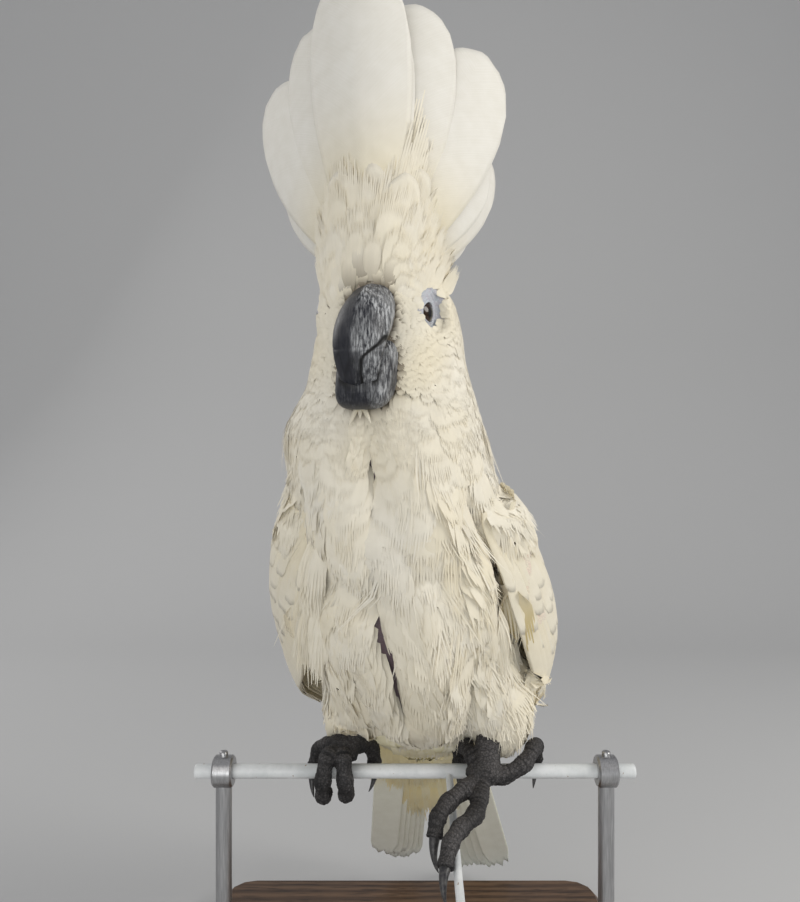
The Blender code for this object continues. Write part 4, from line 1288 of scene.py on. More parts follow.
def leaf_grid(rows, columns, roundness, ragged, rng):
    """Shares along and across a feather with a round, slightly torn tip."""
    across = np.linspace(-1, 1, columns)
    across = np.sign(across) * np.abs(across) ** 0.85
    end = 1 - roundness * (1 - np.sqrt(np.clip(1 - np.abs(across) ** 2.2, 0, 1)))
    end = end * (1 + rng.normal(0, ragged, columns))
    grow = np.linspace(0, 1, rows) ** 0.85
    share = grow[:, None] * end[None, :]
    return share, np.repeat(across[None, :], rows, 0)


def vane(barbs, spine, normals, half, outline, tint, rng, columns=9, rows=18, thick=0.5, cup=0.12,
         ragged=0.02, sheet=0, root=None, roundness=0.28):
    """One large feather along a spine: a cupped vane with a raised shaft, as wide as outline(t) says."""
    path = Path(spine[None], normals[None])
    share, across = leaf_grid(rows, columns, roundness, ragged, rng)
    place, normal, side = path.at(share[None])
    place, normal, side = place[0], normal[0], side[0]
    sideways = across * half * outline(share)
    drop = cup * half * across**2
    shaft = 0.5 * np.exp(-((sideways / 0.6) ** 2)) * (1.05 - share)
    middle = place + side * sideways[..., None] + normal * (shaft - drop)[..., None]
    leaf(barbs, middle, normal, share, across, thick, tint, rng,
         unwrap(root if root is not None else spine[0], sheet))


# side: how far the plumes lean to each side; back: how far they lean back; turn: how far their faces turn
# outwards; then length, width, and the root's place on the crown.
CREST_ROOT_Z, CREST_SUNK = 221.0, 3  # where the plumes leave the crown, and how far below it they start
CREST_LEAN = math.radians(-6)
CREST = [
    (0, 2, 0, 128, 43, 14, 0),
    (12, 6, 14, 113, 43, 10, 3),
    (27, 12, 28, 101, 45, 5, 7),
    (40, 17, 38, 62, 36, -1, 5),
    (14, 27, 34, 108, 42, -6, 5),
    (32, 35, 54, 84, 38, -10, 7),
    (0, 46, 0, 108, 42, -12, 0),
]


def rotation(axis, angle):
    c, s = math.cos(angle), math.sin(angle)
    return {
        "x": np.array([[1, 0, 0], [0, c, -s], [0, s, c]]),
        "y": np.array([[c, 0, s], [0, 1, 0], [-s, 0, c]]),
        "z": np.array([[c, -s, 0], [s, c, 0], [0, 0, 1]]),
    }[axis]


def plume_outline(t):
    """A crest plume widens from its root to two thirds of its length, and stays wide to its round tip."""
    return 0.34 + 0.66 * np.sin(math.pi / 2 * np.clip(t / 0.66, 0, 1))


def crest_tint(share, across):
    base = mixed(CREAM, CREST_WHITE, eased(share, 0.05, 0.6)[:, None])
    return mixed(base, PALE_YELLOW, (0.2 * (1 - eased(share, 0.0, 0.45)))[:, None])


def crest_plume(barbs, row, sign, rng, shorter=1.0, jitter=0.0, deeper=0.0):
    lean, back, turn, length, width, forward, offset = row
    lean = math.radians(lean + rng.normal(0, 1) * jitter) * sign
    back = math.radians(back + rng.normal(0, 0.8) * jitter + deeper)
    head_turn = math.atan2(HEAD_LEFT[1], HEAD_LEFT[0])
    swing = rotation("z", head_turn) @ rotation("x", -back) @ rotation("y", lean + CREST_LEAN)
    face = rotation("z", math.radians(turn) * sign)
    root = head_place(sign * offset, forward, CREST_ROOT_Z - CREST_SUNK)
    t = np.linspace(0, 1, 14)
    length = (length + CREST_SUNK) * shorter
    local = np.stack([0 * t, 0.16 * length * t * t, length * t], -1)
    slope = 0.32 * t
    facing = np.stack([0 * t, -np.ones_like(t), slope], -1)
    spine = local @ (swing @ face).T + root
    normals = unit(facing @ (swing @ face).T)
    half = width / 2 * (0.9 + 0.1 * shorter)
    vane(barbs, spine, normals, half, plume_outline, crest_tint, rng, 21, 26, 0.45, 0.28, 0.004, 1, root,
         0.30)


def build_crest(skin, rng):
    barbs = Barbs()
    for row in CREST:
        for sign in (1, -1) if row[0] else (1,):
            crest_plume(barbs, row, sign, rng)
            less = (row[0] * (0.80 if row[0] > 20 else 1.0),) + row[1:]
            crest_plume(barbs, less, sign, rng, 0.90, 1.5, 3.0)
            crest_plume(barbs, less, sign, rng, 0.78, 2.0, 5.5)
    barbs.piece("crest_plumes", skin, ["crest"])


def chin_outline(share):
    return 1 - 0.85 * np.clip(share, 0, 1) ** 2


def build_chin(skin, rng):
    """A few larger pointed feathers that fork below the bill."""
    barbs = Barbs()
    for side, lean, length in ((-2.6, -0.42, 8.0), (-0.2, 0.50, 7.5), (-1.2, 0.02, 5.0)):
        root = head_place(side + BILL_LEAN * -4, 27.0, 160.5)
        near, normals, _ = coat.nearest(np.array([root]))
        heading = unit(-UP + HEAD_LEFT * lean - normals[0] * dot(-UP, normals[0]))
        t = np.linspace(0, 1, 5)[:, None]
        spine = near[0] + heading * length * t + normals[0] * (0.5 + 1.2 * t)
        vane(barbs, spine, np.repeat(normals, 5, 0), 1.05, chin_outline, white_tint, rng, 7, 8, 0.25, 0.2,
             0.02, roundness=0.3)
    barbs.piece("chin_feathers", skin)


def brow_tint(share, across):
    return mixed(CREAM, WHITE, (0.45 + 0.4 * share)[:, None])


def build_forehead(skin, plume, rng):
    """The lengthening feathers that climb from the brow and temples over the foot of the crest."""
    places, index = coat.scatter(BROW_SEEDS, rng)
    region = region_of(places)
    side, forward, z = in_head(places)
    on = (region == ON_HEAD) & (z > 198) & (horn.distance(places) > 1.0)
    for eye in SIDES:
        on &= from_eye(places, eye)[0] > RING_RADIUS + 0.8
    on &= ~((z < 213) & (forward < -8)) & ~((z < 207) & (np.abs(side) > 17) & (forward < 12))
    pick = np.nonzero(on)[0]
    pick = pick[thinned(places[pick], mixed(1.7, 3.0, eased(places[pick, 2], 199, 220)), rng)]
    roots, normals = places[pick], coat.face_normals[index[pick]]
    side, forward, z = in_head(roots)
    outward = unit(HEAD_LEFT * (side + 1.5)[:, None] + HEAD_FORWARD * (forward + 4)[:, None])
    to_side, to_front = outward @ HEAD_LEFT, outward @ HEAD_FORWARD
    start = lie_of_coat(roots, normals, np.zeros(len(roots), int))
    start = unit(start + UP * 0.7)
    lean = 0.40 * to_side + 0.04 * np.abs(to_side)
    back = np.where(to_front > 0, -0.20 * to_front, 0.8 * to_front)
    finish = unit(UP + HEAD_LEFT * lean[:, None] + HEAD_FORWARD * back[:, None])
    length = mixed(9.0, 56.0, eased(z, 197, 222) ** 1.3) * rng.uniform(0.8, 1.15, len(roots))
    length = length * (1 - 0.45 * eased(np.abs(side), 11, 18))
    s = np.linspace(0, 1, 6)[None, :, None]
    reach = length[:, None, None]
    bend = roots[:, None] + start[:, None] * reach * 0.42
    end = bend + finish[:, None] * reach * 0.58
    line = roots[:, None] * (1 - s) ** 2 + bend * 2 * s * (1 - s) + end * s**2
    ahead = unit(np.gradient(line, axis=1))
    face = mixed(normals[:, None], outward[:, None] + 0 * s, np.clip(s * 1.6, 0, 1))
    face = unit(face - dot(face, ahead) * ahead)
    warm = markings_and_gap_shade(roots, np.zeros(len(roots), int))
    white = mixed(WHITE, CREAM, rng.uniform(0.15, 0.45, (len(roots), 1)))
    broad = Barbs()
    under = np.nonzero(length > 30)[0]
    under = under[thinned(roots[under], np.full(len(under), 5.6), rng)]
    for i in under.tolist():
        t = s[0] * 1.12
        spine = roots[i] * (1 - t) ** 2 + bend[i] * 2 * t * (1 - t) + end[i] * t**2 - face[i] * 1.5
        vane(broad, spine, face[i], 0.15 * length[i] + 2.2, plume_outline, brow_tint, rng, 11, 12, 0.3, 0.16,
             0.008, 1, roots[i], 0.3)
    broad.piece("forehead_plumes", plume)
    barbs = Barbs()
    soft_feathers(barbs, Path(line, face), length, 0.20 * length + 3.4, np.full(len(roots), 0.7),
                  rng.uniform(0.0, 0.3, len(roots)), warm, white, rng, 14, 7, 0.05, 1, 0.20,
                  rng.normal(0, 0.012, len(roots)), 0.03)
    barbs.piece("forehead_feathers", skin)


# ---------------------------------------------------------------- wings
# how far the wing's face reaches below and above the wrist's line, and how far it stands from the body's
# middle at its widest, at its upper edge and at its lower edge, at these shares of its length
WING_ROWS_AT = [0, 0.08, 0.20, 0.32, 0.42, 0.50, 0.62, 0.80, 1.00]
WING = [
    (14, 14, 47, 36, 32),
    (24, 27, 57, 29, 40),
    (31, 35, 64.5, 18, 47),
    (30, 36, 66, 12, 53),
    (22, 30, 62.5, 9, 56),
    (16, 24, 48, 7, 46),
    (13, 18, 38, 6, 37),
    (9, 12, 25, 6, 24.5),
    (4, 4, 14, 8, 14),
]


class Wing:
    """The outer face of one folded wing, by shares of its length and of the way up from its lower edge."""

    def __init__(self, side):
        self.side, self.sign = side, SIDES[side]
        pitch = WING_PITCH[side]
        self.down = np.array([0, math.sin(pitch), -math.cos(pitch)])
        self.rise = np.array([0, math.cos(pitch), math.sin(pitch)])
        self.alongs, self.shares = np.linspace(-0.03, 1.03, 80), np.linspace(0, 1, 61)
        rows, widths = [], []
        for along in self.alongs:
            line = np.array([self.point(along, up) for up in np.linspace(0, 1, 90)])
            run = np.concatenate([[0], np.cumsum(np.linalg.norm(np.diff(line, axis=0), axis=1))])
            rows.append(np.stack([np.interp(self.shares * run[-1], run, line[:, k]) for k in range(3)], -1))
            widths.append(run[-1])
        self.grid, self.widths = np.array(rows), np.array(widths)
        run, rise = np.gradient(self.grid, axis=0), np.gradient(self.grid, axis=1)
        normals = unit(np.cross(run, rise))
        self.normals = normals if normals[40, 30, 0] * self.sign > 0 else -normals

    def point(self, along, up):
        place = float(np.interp(along, WING_ROWS_AT, range(len(WING))))
        low, high, out, top, edge = between(WING, place)
        fold, curl = max(0.0, up - 0.25) / 0.75, max(0.0, 1 - up / 0.4) ** 2
        x = top + (out - top) * math.cos(math.pi / 2 * fold**1.4) - (out - edge) * curl
        spot = WING_WRIST + self.down * (WING_LENGTH * along) + self.rise * (-low + (low + high) * up)
        spot[0] = self.sign * x + mixed(-6, 1.5, float(eased(along, 0, 0.35))) + 6 * max(0.0, along - 0.35)
        return spot

    def drape(self, along, share, beside):
        """Points and normals on the face, with an offset across it in millimetres."""
        i = np.clip((along - self.alongs[0]) / (self.alongs[1] - self.alongs[0]), 0, len(self.alongs) - 1.001)
        width = np.interp(i, range(len(self.widths)), self.widths)
        j = np.clip(share + beside / width, 0, 1) * (len(self.shares) - 1.001)
        a, b = i.astype(int), j.astype(int)
        p, q = (i - a)[..., None], (j - b)[..., None]

        def blend(grid):
            upper = grid[a, b] * (1 - q) + grid[a, b + 1] * q
            return upper * (1 - p) + (grid[a + 1, b] * (1 - q) + grid[a + 1, b + 1] * q) * p

        return blend(self.grid), unit(blend(self.normals))


WINGS = {side: Wing(side) for side in SIDES}


def under_coverts(places):
    """Whether each place lies on the face of a folded wing, where the wing's own feathers lie."""
    on = np.zeros(len(places), bool)
    for wing in WINGS.values():
        rows = wing.grid[(wing.alongs > 0.045) & (wing.alongs < 0.5)][:, ::2].reshape(-1, 3)
        tree = KDTree(len(rows))
        for i, row in enumerate(rows.tolist()):
            tree.insert(row, i)
        tree.balance()
        for i in np.nonzero((places[:, 0] * wing.sign > 25) & ~on)[0].tolist():
            on[i] = tree.find(places[i].tolist())[2] < 4.2
    return on


def wing_feather(barbs, wing, root, tip, half, lift, tint, rng, columns=7, rows=12, bow=0.0, ragged=0.01,
                 thick=0.45):
    """A stiff feather laid over the wing from root to tip, both given as (along, share)."""
    length = math.hypot((tip[0] - root[0]) * WING_LENGTH, (tip[1] - root[1]) * WING_HEIGHT)
    share, across = leaf_grid(rows, columns, min(0.6, 1.25 * half / length), ragged, rng)
    outline = 0.5 + 0.5 * np.sin(math.pi / 2 * np.clip(share / 0.35, 0, 1))
    sideways = across * half * outline
    along = mixed(root[0], tip[0], share)
    line = mixed(root[1], tip[1], share) + bow * np.sin(math.pi * share)
    place, normal = wing.drape(along, line, sideways)
    shaft = 0.35 * np.exp(-((sideways / 0.6) ** 2)) * (1.1 - share)
    rise = mixed(lift[0], lift[1], share) - 0.05 * half * across**2 + shaft
    middle = place + normal * rise[..., None]
    leaf(barbs, middle, normal, share, across, thick, tint, rng,
         unwrap(middle[0, columns // 2], 2 if wing.sign > 0 else 3))


def white_tint(share, across):
    return mixed(CREAM, WHITE, (0.35 + 0.35 * eased(share, 0.2, 0.9))[:, None])


def flight_tint(share, across):
    """White vanes whose inner webs are pale yellow towards the root."""
    base = white_tint(share, across)
    return mixed(base, PALE_YELLOW, (0.35 * (1 - eased(share, 0.2, 0.7)) * eased(across, 0.0, 0.9))[:, None])


# where each primary's tip lies along the wing, from the innermost to the outermost
PRIMARY_TIPS = [0.60, 0.66, 0.72, 0.78, 0.84, 0.895, 0.94, 0.975, 1.0, 0.985, 0.93]
# rows of coverts from the longest to the wrist: root, reach, half width, how many, and lift
COVERT_ROWS = [
    (0.215, 0.215, 7.6, 15, -0.30),
    (0.165, 0.165, 6.6, 15, -0.20),
    (0.128, 0.128, 5.8, 15, -0.10),
    (0.098, 0.104, 5.2, 15, 0.0),
    (0.072, 0.086, 4.7, 14, 0.08),
    (0.048, 0.074, 4.3, 13, 0.16),
    (0.026, 0.064, 3.9, 12, 0.24),
    (0.006, 0.056, 3.5, 11, 0.32),
    (-0.014, 0.050, 3.2, 9, 0.40),
]


def build_wing(side, skin, rng):
    wing = WINGS[side]
    primaries, secondaries, coverts = Barbs(), Barbs(), Barbs()
    for number, end in enumerate(PRIMARY_TIPS):
        share = number / (len(PRIMARY_TIPS) - 1)
        tip = (end, mixed(0.62, 0.10, share))
        root = (0.26, mixed(0.42, 0.05, share))
        height = -1.2 - 0.10 * number
        wing_feather(primaries, wing, root, tip, mixed(8.5, 6.5, share), (height - 0.6, height), flight_tint,
                     rng, 9, 22, mixed(0.02, 0.04, share), 0.006)
    for number in range(11):
        share = number / 10
        tip = (mixed(0.665, 0.47, share), mixed(0.50, 0.95, share))
        root = (mixed(0.25, 0.14, share), mixed(0.40, 0.97, share))
        height = -1.1 + 0.12 * number
        wing_feather(secondaries, wing, root, tip, 9.5, (height - 0.6, height), flight_tint, rng, 9, 16, 0.02,
                     0.008)
    # long coverts and the thumb's feathers along the leading edge
    for number in range(7):
        share = number / 6
        root = (mixed(0.20, 0.05, share), mixed(0.22, 0.06, share))
        tip = (mixed(0.53, 0.47, share), mixed(0.26, 0.03, share))
        wing_feather(primaries, wing, root, tip, 6.4, (-0.9 + 0.08 * number, -0.3 + 0.12 * number),
                     white_tint, rng, 9, 16, 0.0, 0.01)
    for start, reach, half, count, height in COVERT_ROWS:
        for number in range(count):
            share = np.clip((number + rng.uniform(-0.2, 0.2)) / (count - 1), 0.02, 0.98)
            share = share * (1 if start > 0.06 else 0.76)
            front = 1 - float(eased(share, 0.30, 0.50))
            if front > 0.5 and rng.random() < 0.25:
                continue
            begin = start + rng.normal(0, 0.004)
            end = start + reach * rng.uniform(0.93, 1.07) * (1.15 + 1.4 * front)
            wing_feather(coverts, wing, (begin, share), (end, mixed(share, 0.5, 0.04)),
                         half * rng.uniform(0.92, 1.08), (height - 0.6, height - 0.12), white_tint, rng,
                         9, 10, 0.0, 0.012, 0.14)
    primaries.piece(f"primaries_{side}", skin, [f"flight_{side}"])
    secondaries.piece(f"secondaries_{side}", skin, [f"flight_{side}"])
    coverts.piece(f"coverts_{side}", skin)


# ---------------------------------------------------------------- tail
TAIL_ROOT = np.array([6.0, 46.0, 2.0])
TAIL_PITCH, TAIL_SWING = math.radians(40), math.radians(-6.0)
# length, and how far the inner and outer edges stand from the middle line at the root and at the end
TAIL = {"right": (144.0, -0.5, -15.0, -20.0, -38.0), "left": (163.0, 0.5, 7.0, 20.0, 44.0)}


def tail_tint(share, across):
    # painted light: the tail starts from a brighter white than the body's, to lift it out of the shade it
    # hangs in
    base = mixed(TAIL_LIT_WHITE, PALE_YELLOW, (0.30 - 0.25 * share)[:, None])
    web = 0.25 + 0.75 * eased(np.abs(across), 0.2, 0.8)
    return mixed(base, YELLOW, (0.85 * web * (1 - eased(share, 0.22, 0.48)))[:, None])


def build_tail(skin, soft, rng):
    down = rotation("y", TAIL_SWING) @ np.array([0, math.sin(TAIL_PITCH), -math.cos(TAIL_PITCH)])
    up = np.array([0, math.cos(TAIL_PITCH), math.sin(TAIL_PITCH)])
    across = unit(np.cross(down, up))
    for side, (length, inner_root, inner_end, outer_root, outer_end) in TAIL.items():
        barbs = Barbs()
        for number in range(6):
            share = (number + 0.5) / 6
            t = np.linspace(-0.06, 1, 10)
            near = inner_root + (inner_end - inner_root) * t
            far = outer_root + (outer_end - outer_root) * t
            sideways = near + (far - near) * (0.12 + 0.76 * share)
            reach = length * (1 - 0.05 * share**2 + rng.normal(0, 0.008))
            vault = -0.0035 * sideways**2 * (1 - 0.5 * t) + 2.6 - 0.30 * number
            spine = TAIL_ROOT + down * (reach * t)[:, None] + across * sideways[:, None] + up * vault[:, None]
            normals = np.repeat(up[None], len(t), 0) + across * (-0.003 * sideways)[:, None]
            vane(barbs, spine, unit(normals), 8.2, tail_outline, tail_tint, rng, 13, 24, 0.5, 0.05, 0.016, 0,
                 None, 0.10)
        barbs.piece(f"tail_feathers_{side}", skin, [f"tail_{side}"])
    build_undertail(soft, rng, down, up, across)


def tail_outline(share):
    return 0.5 + 0.5 * np.sin(math.pi / 2 * np.clip(share / 0.5, 0, 1))


def build_undertail(skin, rng, down, up, across):
    """The pale yellow feathers that cover the foot of the tail from below."""
    count = 260
    run, sideways = rng.uniform(-0.10, 0.30, count), rng.uniform(-20, 24, count)
    sideways = sideways * (1 - 1.3 * np.clip(run, 0, 1))
    under = -3.4 - 7.0 * np.clip(0.08 - run, 0, 1) / 0.2 + 0.004 * sideways**2 + 4.0 * np.clip(run, 0, 1)
    roots = TAIL_ROOT + down * (run * 160)[:, None] + across * sideways[:, None] + up * under[:, None]
    length = rng.uniform(26, 44, count)
    splay = across * (sideways * 0.006)[:, None]
    heading = unit(down + splay + up * 0.05 + across * rng.normal(0, 0.06, (count, 1)))
    s = np.linspace(0, 1, 5)[None, :, None]
    line = roots[:, None] + heading[:, None] * s * length[:, None, None]
    face = unit(-up - dot(-up, heading) * heading)
    path = Path(line, np.repeat(face[:, None], 5, 1))
    barbs = Barbs()
    tint = mixed(PALE_YELLOW, YELLOW, np.clip(rng.normal(0.24, 0.18, (count, 1)), 0, 0.8))
    soft_feathers(barbs, path, length, 0.34 * length, np.full(count, 0.8), rng.uniform(0, 0.8, count), tint,
                  mixed(tint, WHITE, 0.35), rng, 16, 5, 0.12)
    barbs.piece("undertail_feathers", skin)


# ---------------------------------------------------------------- bill
CULMEN_FORWARD, CULMEN_Z, CULMEN_RADIUS = 19.0, 185.0, 21.0
# the line where the mandibles close: corners as (place along the upper bill, share of its half width)
MOUTH_LINE = [(3.50, 1.00), (3.95, 0.86), (4.52, 0.40), (4.75, 0.30), (5.8, 0.26), (7.0, 0.34)]
BILL_LEAN, BILL_UPRIGHT_Z = 0.075, 164.0
UPPER_BILL = [(88, 9.2, 19), (62, 10.2, 19.5), (36, 10.4, 19.5), (12, 10.4, 18), (-12, 9.8, 14.5),
              (-31, 8.7, 10.5), (-46, 7.6, 7.2), (-57, 6.5, 3.8)]
LOWER_BILL = [(10, 10.2, 188, 165), (17, 11.2, 188, 161), (22, 10.9, 184, 159.4), (26, 9.9, 179, 160),
              (29, 8.2, 174.5, 162), (30.8, 5.6, 171, 165)]
UPPER_RINGS, UPPER_SIDES, LOWER_RINGS, LOWER_SIDES = 110, 96, 50, 64
TONGUE_RINGS, TONGUE_SIDES = 16, 28


def bill_place(side, forward, z):
    return head_place(side + BILL_LEAN * (z - BILL_UPRIGHT_Z), forward, z)


def horn_paint(places, flank, clear_of_seam_shade):
    """Red is how much pale powder lies on the horn, and green how clear it is of the painted shade in the
    seam between the mandibles.
    """
    worn = 0.6 + 0.4 * ripple(places, 7, SEED + 3)
    return np.stack([np.clip(flank * worn, 0, 1), np.clip(clear_of_seam_shade, 0, 1), 0 * flank], -1)


def mouth_gap(place, wide):
    """How far a spot on the bill lies from the line where the two mandibles close."""
    best = 9.0
    for (p0, w0), (p1, w1) in zip(MOUTH_LINE, MOUTH_LINE[1:]):
        run = (p1 - p0, w1 - w0)
        share = ((place - p0) * run[0] + (wide - w0) * run[1]) / (run[0] ** 2 + run[1] ** 2)
        share = min(1.0, max(0.0, share))
        best = min(best, math.hypot(place - p0 - run[0] * share, wide - w0 - run[1] * share))
    return best


def build_bill(skin):
    rings, flank, clear_of_seam_shade = [], [], []
    for place in np.linspace(0, len(UPPER_BILL) - 1, UPPER_RINGS):
        angle, half, depth = between(UPPER_BILL, place)
        tilt = math.radians(angle)
        ring = []
        for turn in full_turn(UPPER_SIDES).tolist():
            lift = math.sin(turn)
            ridge = max(0.0, lift) ** 2
            wide = math.copysign(abs(math.cos(turn)) ** 0.65, math.cos(turn))
            side = half * wide * (1 - 0.05 * ridge)
            if lift > 0:
                boxy = 0.60 * (1 - abs(wide) ** 3.2) ** 0.6 + 0.40 * (1 - abs(wide))
                lift = mixed(lift, boxy, float(eased(place, 0.0, 1.2)))
            crown = 0.35 * math.exp(-((wide / 0.16) ** 2)) * (lift > 0)
            band = 0.10 * math.sin(place * 9.0) * math.exp(-place / 2.5)
            band -= 0.32 * math.exp(-(((place - 4.15 - 0.06 * math.sin(3 * turn)) / 0.08) ** 2))
            chip = 0.25 * noise.noise(Vector((side * 0.7, place * 2.0, 3.0))) * float(eased(place, 4.5, 7))
            seam_gap = mouth_gap(place, wide) if math.sin(turn) > -0.2 else 1.0
            band -= 0.55 * math.exp(-((seam_gap / 0.075) ** 2))
            out = CULMEN_RADIUS - depth / 2 * (1 - lift) + crown + band + chip
            forward = CULMEN_FORWARD + out * math.cos(tilt)
            ring.append(bill_place(side, forward, CULMEN_Z + out * math.sin(tilt)))
            # pale powder and scratches only on the bird's left side, the lit side: real wear, and painted
            # light that keeps that side paler than the dark far side
            worn = 0.08 + 0.92 * float(eased(wide, -0.16, 0.0))
            below = wide > 0.30 and place > 4.3 or seam_gap < 0
            flank.append(worn * (1 - (0.15 if below else 0.75) * float(eased(place, 4.1, 4.3))))
            # painted shade: the upper bill is painted near black along the line where the mandibles close
            clear_of_seam_shade.append(float(eased(seam_gap, 0.045, 0.12)))
        rings.append(ring)
    upper = tube_mesh("mandible_upper", rings, skin, ["bill_upper"])
    places = np.array(rings).reshape(-1, 3)
    upper_faces = grid_faces(UPPER_RINGS, UPPER_SIDES, True)
    upper_shape = Surface(places, np.concatenate([upper_faces[:, [0, 1, 2]], upper_faces[:, [0, 2, 3]]]))
    paint(upper.data, "Tint", horn_paint(places, np.array(flank), np.array(clear_of_seam_shade)))
    rings, flank = [], []
    for place in np.linspace(0, len(LOWER_BILL) - 1, LOWER_RINGS):
        forward, half, top, bottom = between(LOWER_BILL, place)
        ring = []
        for turn in full_turn(LOWER_SIDES).tolist():
            lift = math.copysign(abs(math.sin(turn)) ** 0.62, math.sin(turn))
            side = half * math.copysign(abs(math.cos(turn)) ** 0.5, math.cos(turn))
            z = (top + bottom) / 2 + (top - bottom) / 2 * lift
            ring.append(bill_place(side, forward, z))
            # the lower bill is likewise paler on the bird's left, lit side: powder, and painted light
            flank.append(0.15 + 0.85 * float(eased(side, 2.5, 7.5)))
        rings.append(ring)
    lower = tube_mesh("mandible_lower", rings, skin, ["bill_lower"])
    places = np.array(rings).reshape(-1, 3)
    # painted shade: the lower bill is painted near black where it tucks under the upper one
    clear_of_seam_shade = eased(upper_shape.distance(places), 0.4, 1.5)
    paint(lower.data, "Tint", horn_paint(places, np.array(flank), clear_of_seam_shade))


def build_tongue(skin):
    """The dark tongue between the two halves of the bill."""
    rings = []
    for tilt in np.linspace(0.08, math.pi - 0.08, TONGUE_RINGS):
        ring = []
        for turn in full_turn(TONGUE_SIDES).tolist():
            side, away = 8.6 * math.sin(tilt) * math.cos(turn), math.sin(tilt) * math.sin(turn)
            up = math.cos(tilt)
            ring.append(bill_place(side, 20.5 + 5.0 * away + 2.0 * up, 181.0 + 6.0 * up))
        rings.append(ring)
    made = tube_mesh("tongue", rings, skin)
    paint(made.data, "Tint", np.tile([0.0, 0.5, 0.0], (TONGUE_RINGS * TONGUE_SIDES, 1)))


# ---------------------------------------------------------------- feet and claws
SOLE = {"right": (-33, -1.5, 9.8), "left": (29.5, -12.5, 2.5)}
TOES = {
    "right": {
        1: [(-25.5, 3.5, 10.6), (-20, 8.4, 7.6), (-18.5, 10, -0.5)],
        2: [(-31.8, -8.6, 8.8), (-30.8, -9.9, -0.6), (-30.6, -5.8, -8), (-30.6, 1, -9.2)],
        3: [(-38.3, -8.8, 9.4), (-40.4, -10.4, -0.4), (-40.6, -6.4, -8.4), (-40.4, 0.8, -9.8)],
        4: [(-39, 4.5, 10.2), (-44, 9.2, 6), (-46.5, 9.8, -2.4)],
    },
    "left": {
        1: [(25.5, -7.5, 9), (22.6, 0.5, 11), (21, 8.2, 6.8), (20.6, 9.8, -1)],
        2: [(21, -20.5, 0.4), (13.2, -29.5, -1.4), (8.6, -36.5, -4.4), (7, -41, -10.4)],
        3: [(26.6, -24, -1.8), (24, -33, -4.6), (17.4, -41.5, -6.4), (13, -49, -8.8), (10.4, -56, -14.6)],
        4: [(38.5, -12, 3), (47.5, -9.2, 6.8), (53, -2, 11), (55.6, 6.8, 8.6), (56, 10.2, 1)],
    },
}
ANKLE = {"right": (-25.5, 6.5, 20), "left": (33.5, -4, 20)}
TOE_RADIUS, CLAW_LENGTH = 3.9, 14.0
CLAW_SUNK, CLAW_STEPS = 2.0, 22  # how far a claw starts inside its toe, and its length's steps
CLAW_BEND = 72  # degrees that a claw turns along its length
FOOT_VOXEL = 0.55
SCUTE, SCALE_SHARE = 2.3, 0.62  # how long one scute is, and how many small scales stand in a millimetre


def swept(line, radii, sides, flatten=1.0):
    """Rings round a line of points."""
    line = np.asarray(line, float)
    ahead = unit(np.gradient(line, axis=0))
    start = np.array([0.0, 1, 0]) if abs(unit(line[-1] - line[0])[0]) > 0.9 else np.array([1.0, 0, 0])
    rings, side = [], start
    for point, heading, radius in zip(line, ahead, radii):
        side = unit(side - heading * (side @ heading))
        other = np.cross(heading, side)
        turns = full_turn(sides)
        across, over = np.cos(turns)[:, None], np.sin(turns)[:, None]
        rings.append(point + radius * (across * side + over * other * flatten))
    return np.array(rings)


def toe_line(side, number, per_bone):
    joints = [SOLE[side]] + TOES[side][number]
    bones = len(joints) - 1
    return np.array([between(joints, p) for p in np.linspace(0, bones, per_bone * bones + 1)])


def build_foot(side, skin):
    """One foot: toes and shank grown together, with scutes along the toes and small scales between them."""
    ankle, sole = np.array(ANKLE[side], float), np.array(SOLE[side], float)
    along = unit(sole - ankle)
    shank = [ankle - along * 6, ankle, mixed(ankle, sole, 0.45), mixed(ankle, sole, 0.8), sole,
             sole + along * 2.6]
    line = np.array([between(shank, p) for p in np.linspace(0, 5, 21)])
    radii = [between([(5.6,), (5.8,), (5.8,), (7.2,), (8.0,), (5.4,)], p)[0] for p in np.linspace(0, 5, 21)]
    bodies = [closed_tube(swept(line, radii, 24, 0.75))]
    middles = [(line, np.arange(len(line)) * 1.2)]
    for number, joints in TOES[side].items():
        line = toe_line(side, number, 12)
        share = np.linspace(0, 1, len(line))
        radii = TOE_RADIUS * (1 - 0.15 * share) * (1 + 0.09 * np.cos(2 * math.pi * share * len(joints)))
        bodies.append(closed_tube(swept(line, radii, 20)))
        run = np.concatenate([[0], np.cumsum(np.linalg.norm(np.diff(line, axis=0), axis=1))])
        middles.append((line, run))
    foot = Surface(*remeshed(*joined(*bodies), FOOT_VOXEL, 5))
    centres = np.concatenate([m[0] for m in middles])
    runs = np.concatenate([m[1] for m in middles])
    away = np.linalg.norm(foot.points[:, None, :] - centres[None], axis=-1)
    nearest = away.argmin(axis=1)
    run = runs[nearest]
    top = foot.point_normals[:, 2]
    scute = np.abs(np.sin(math.pi * run / SCUTE)) ** 0.35
    nearest_two = [noise.voronoi(Vector(p * SCALE_SHARE))[0][:2] for p in foot.points]
    plates = np.array([second - first for first, second in nearest_two])
    cells = np.clip(plates * 2.4, 0, 1) ** 0.6
    on_top = eased(top, -0.1, 0.5)
    relief = mixed(cells, scute, on_top)
    places = foot.points + foot.point_normals * ((relief - 0.6) * 0.42)[:, None]
    made = mesh_piece(f"foot_skin_{side}", places, foot.faces, skin, [f"foot_{side}"])
    grey = mixed(np.array([0.016, 0.016, 0.017]), np.array([0.066, 0.063, 0.063]), (relief**1.5)[:, None])
    patchy = 0.85 + 0.3 * ripple(places, 8, SEED + 4)
    paint(made.data, "Tint", np.clip(grey * patchy[:, None], 0, 1))


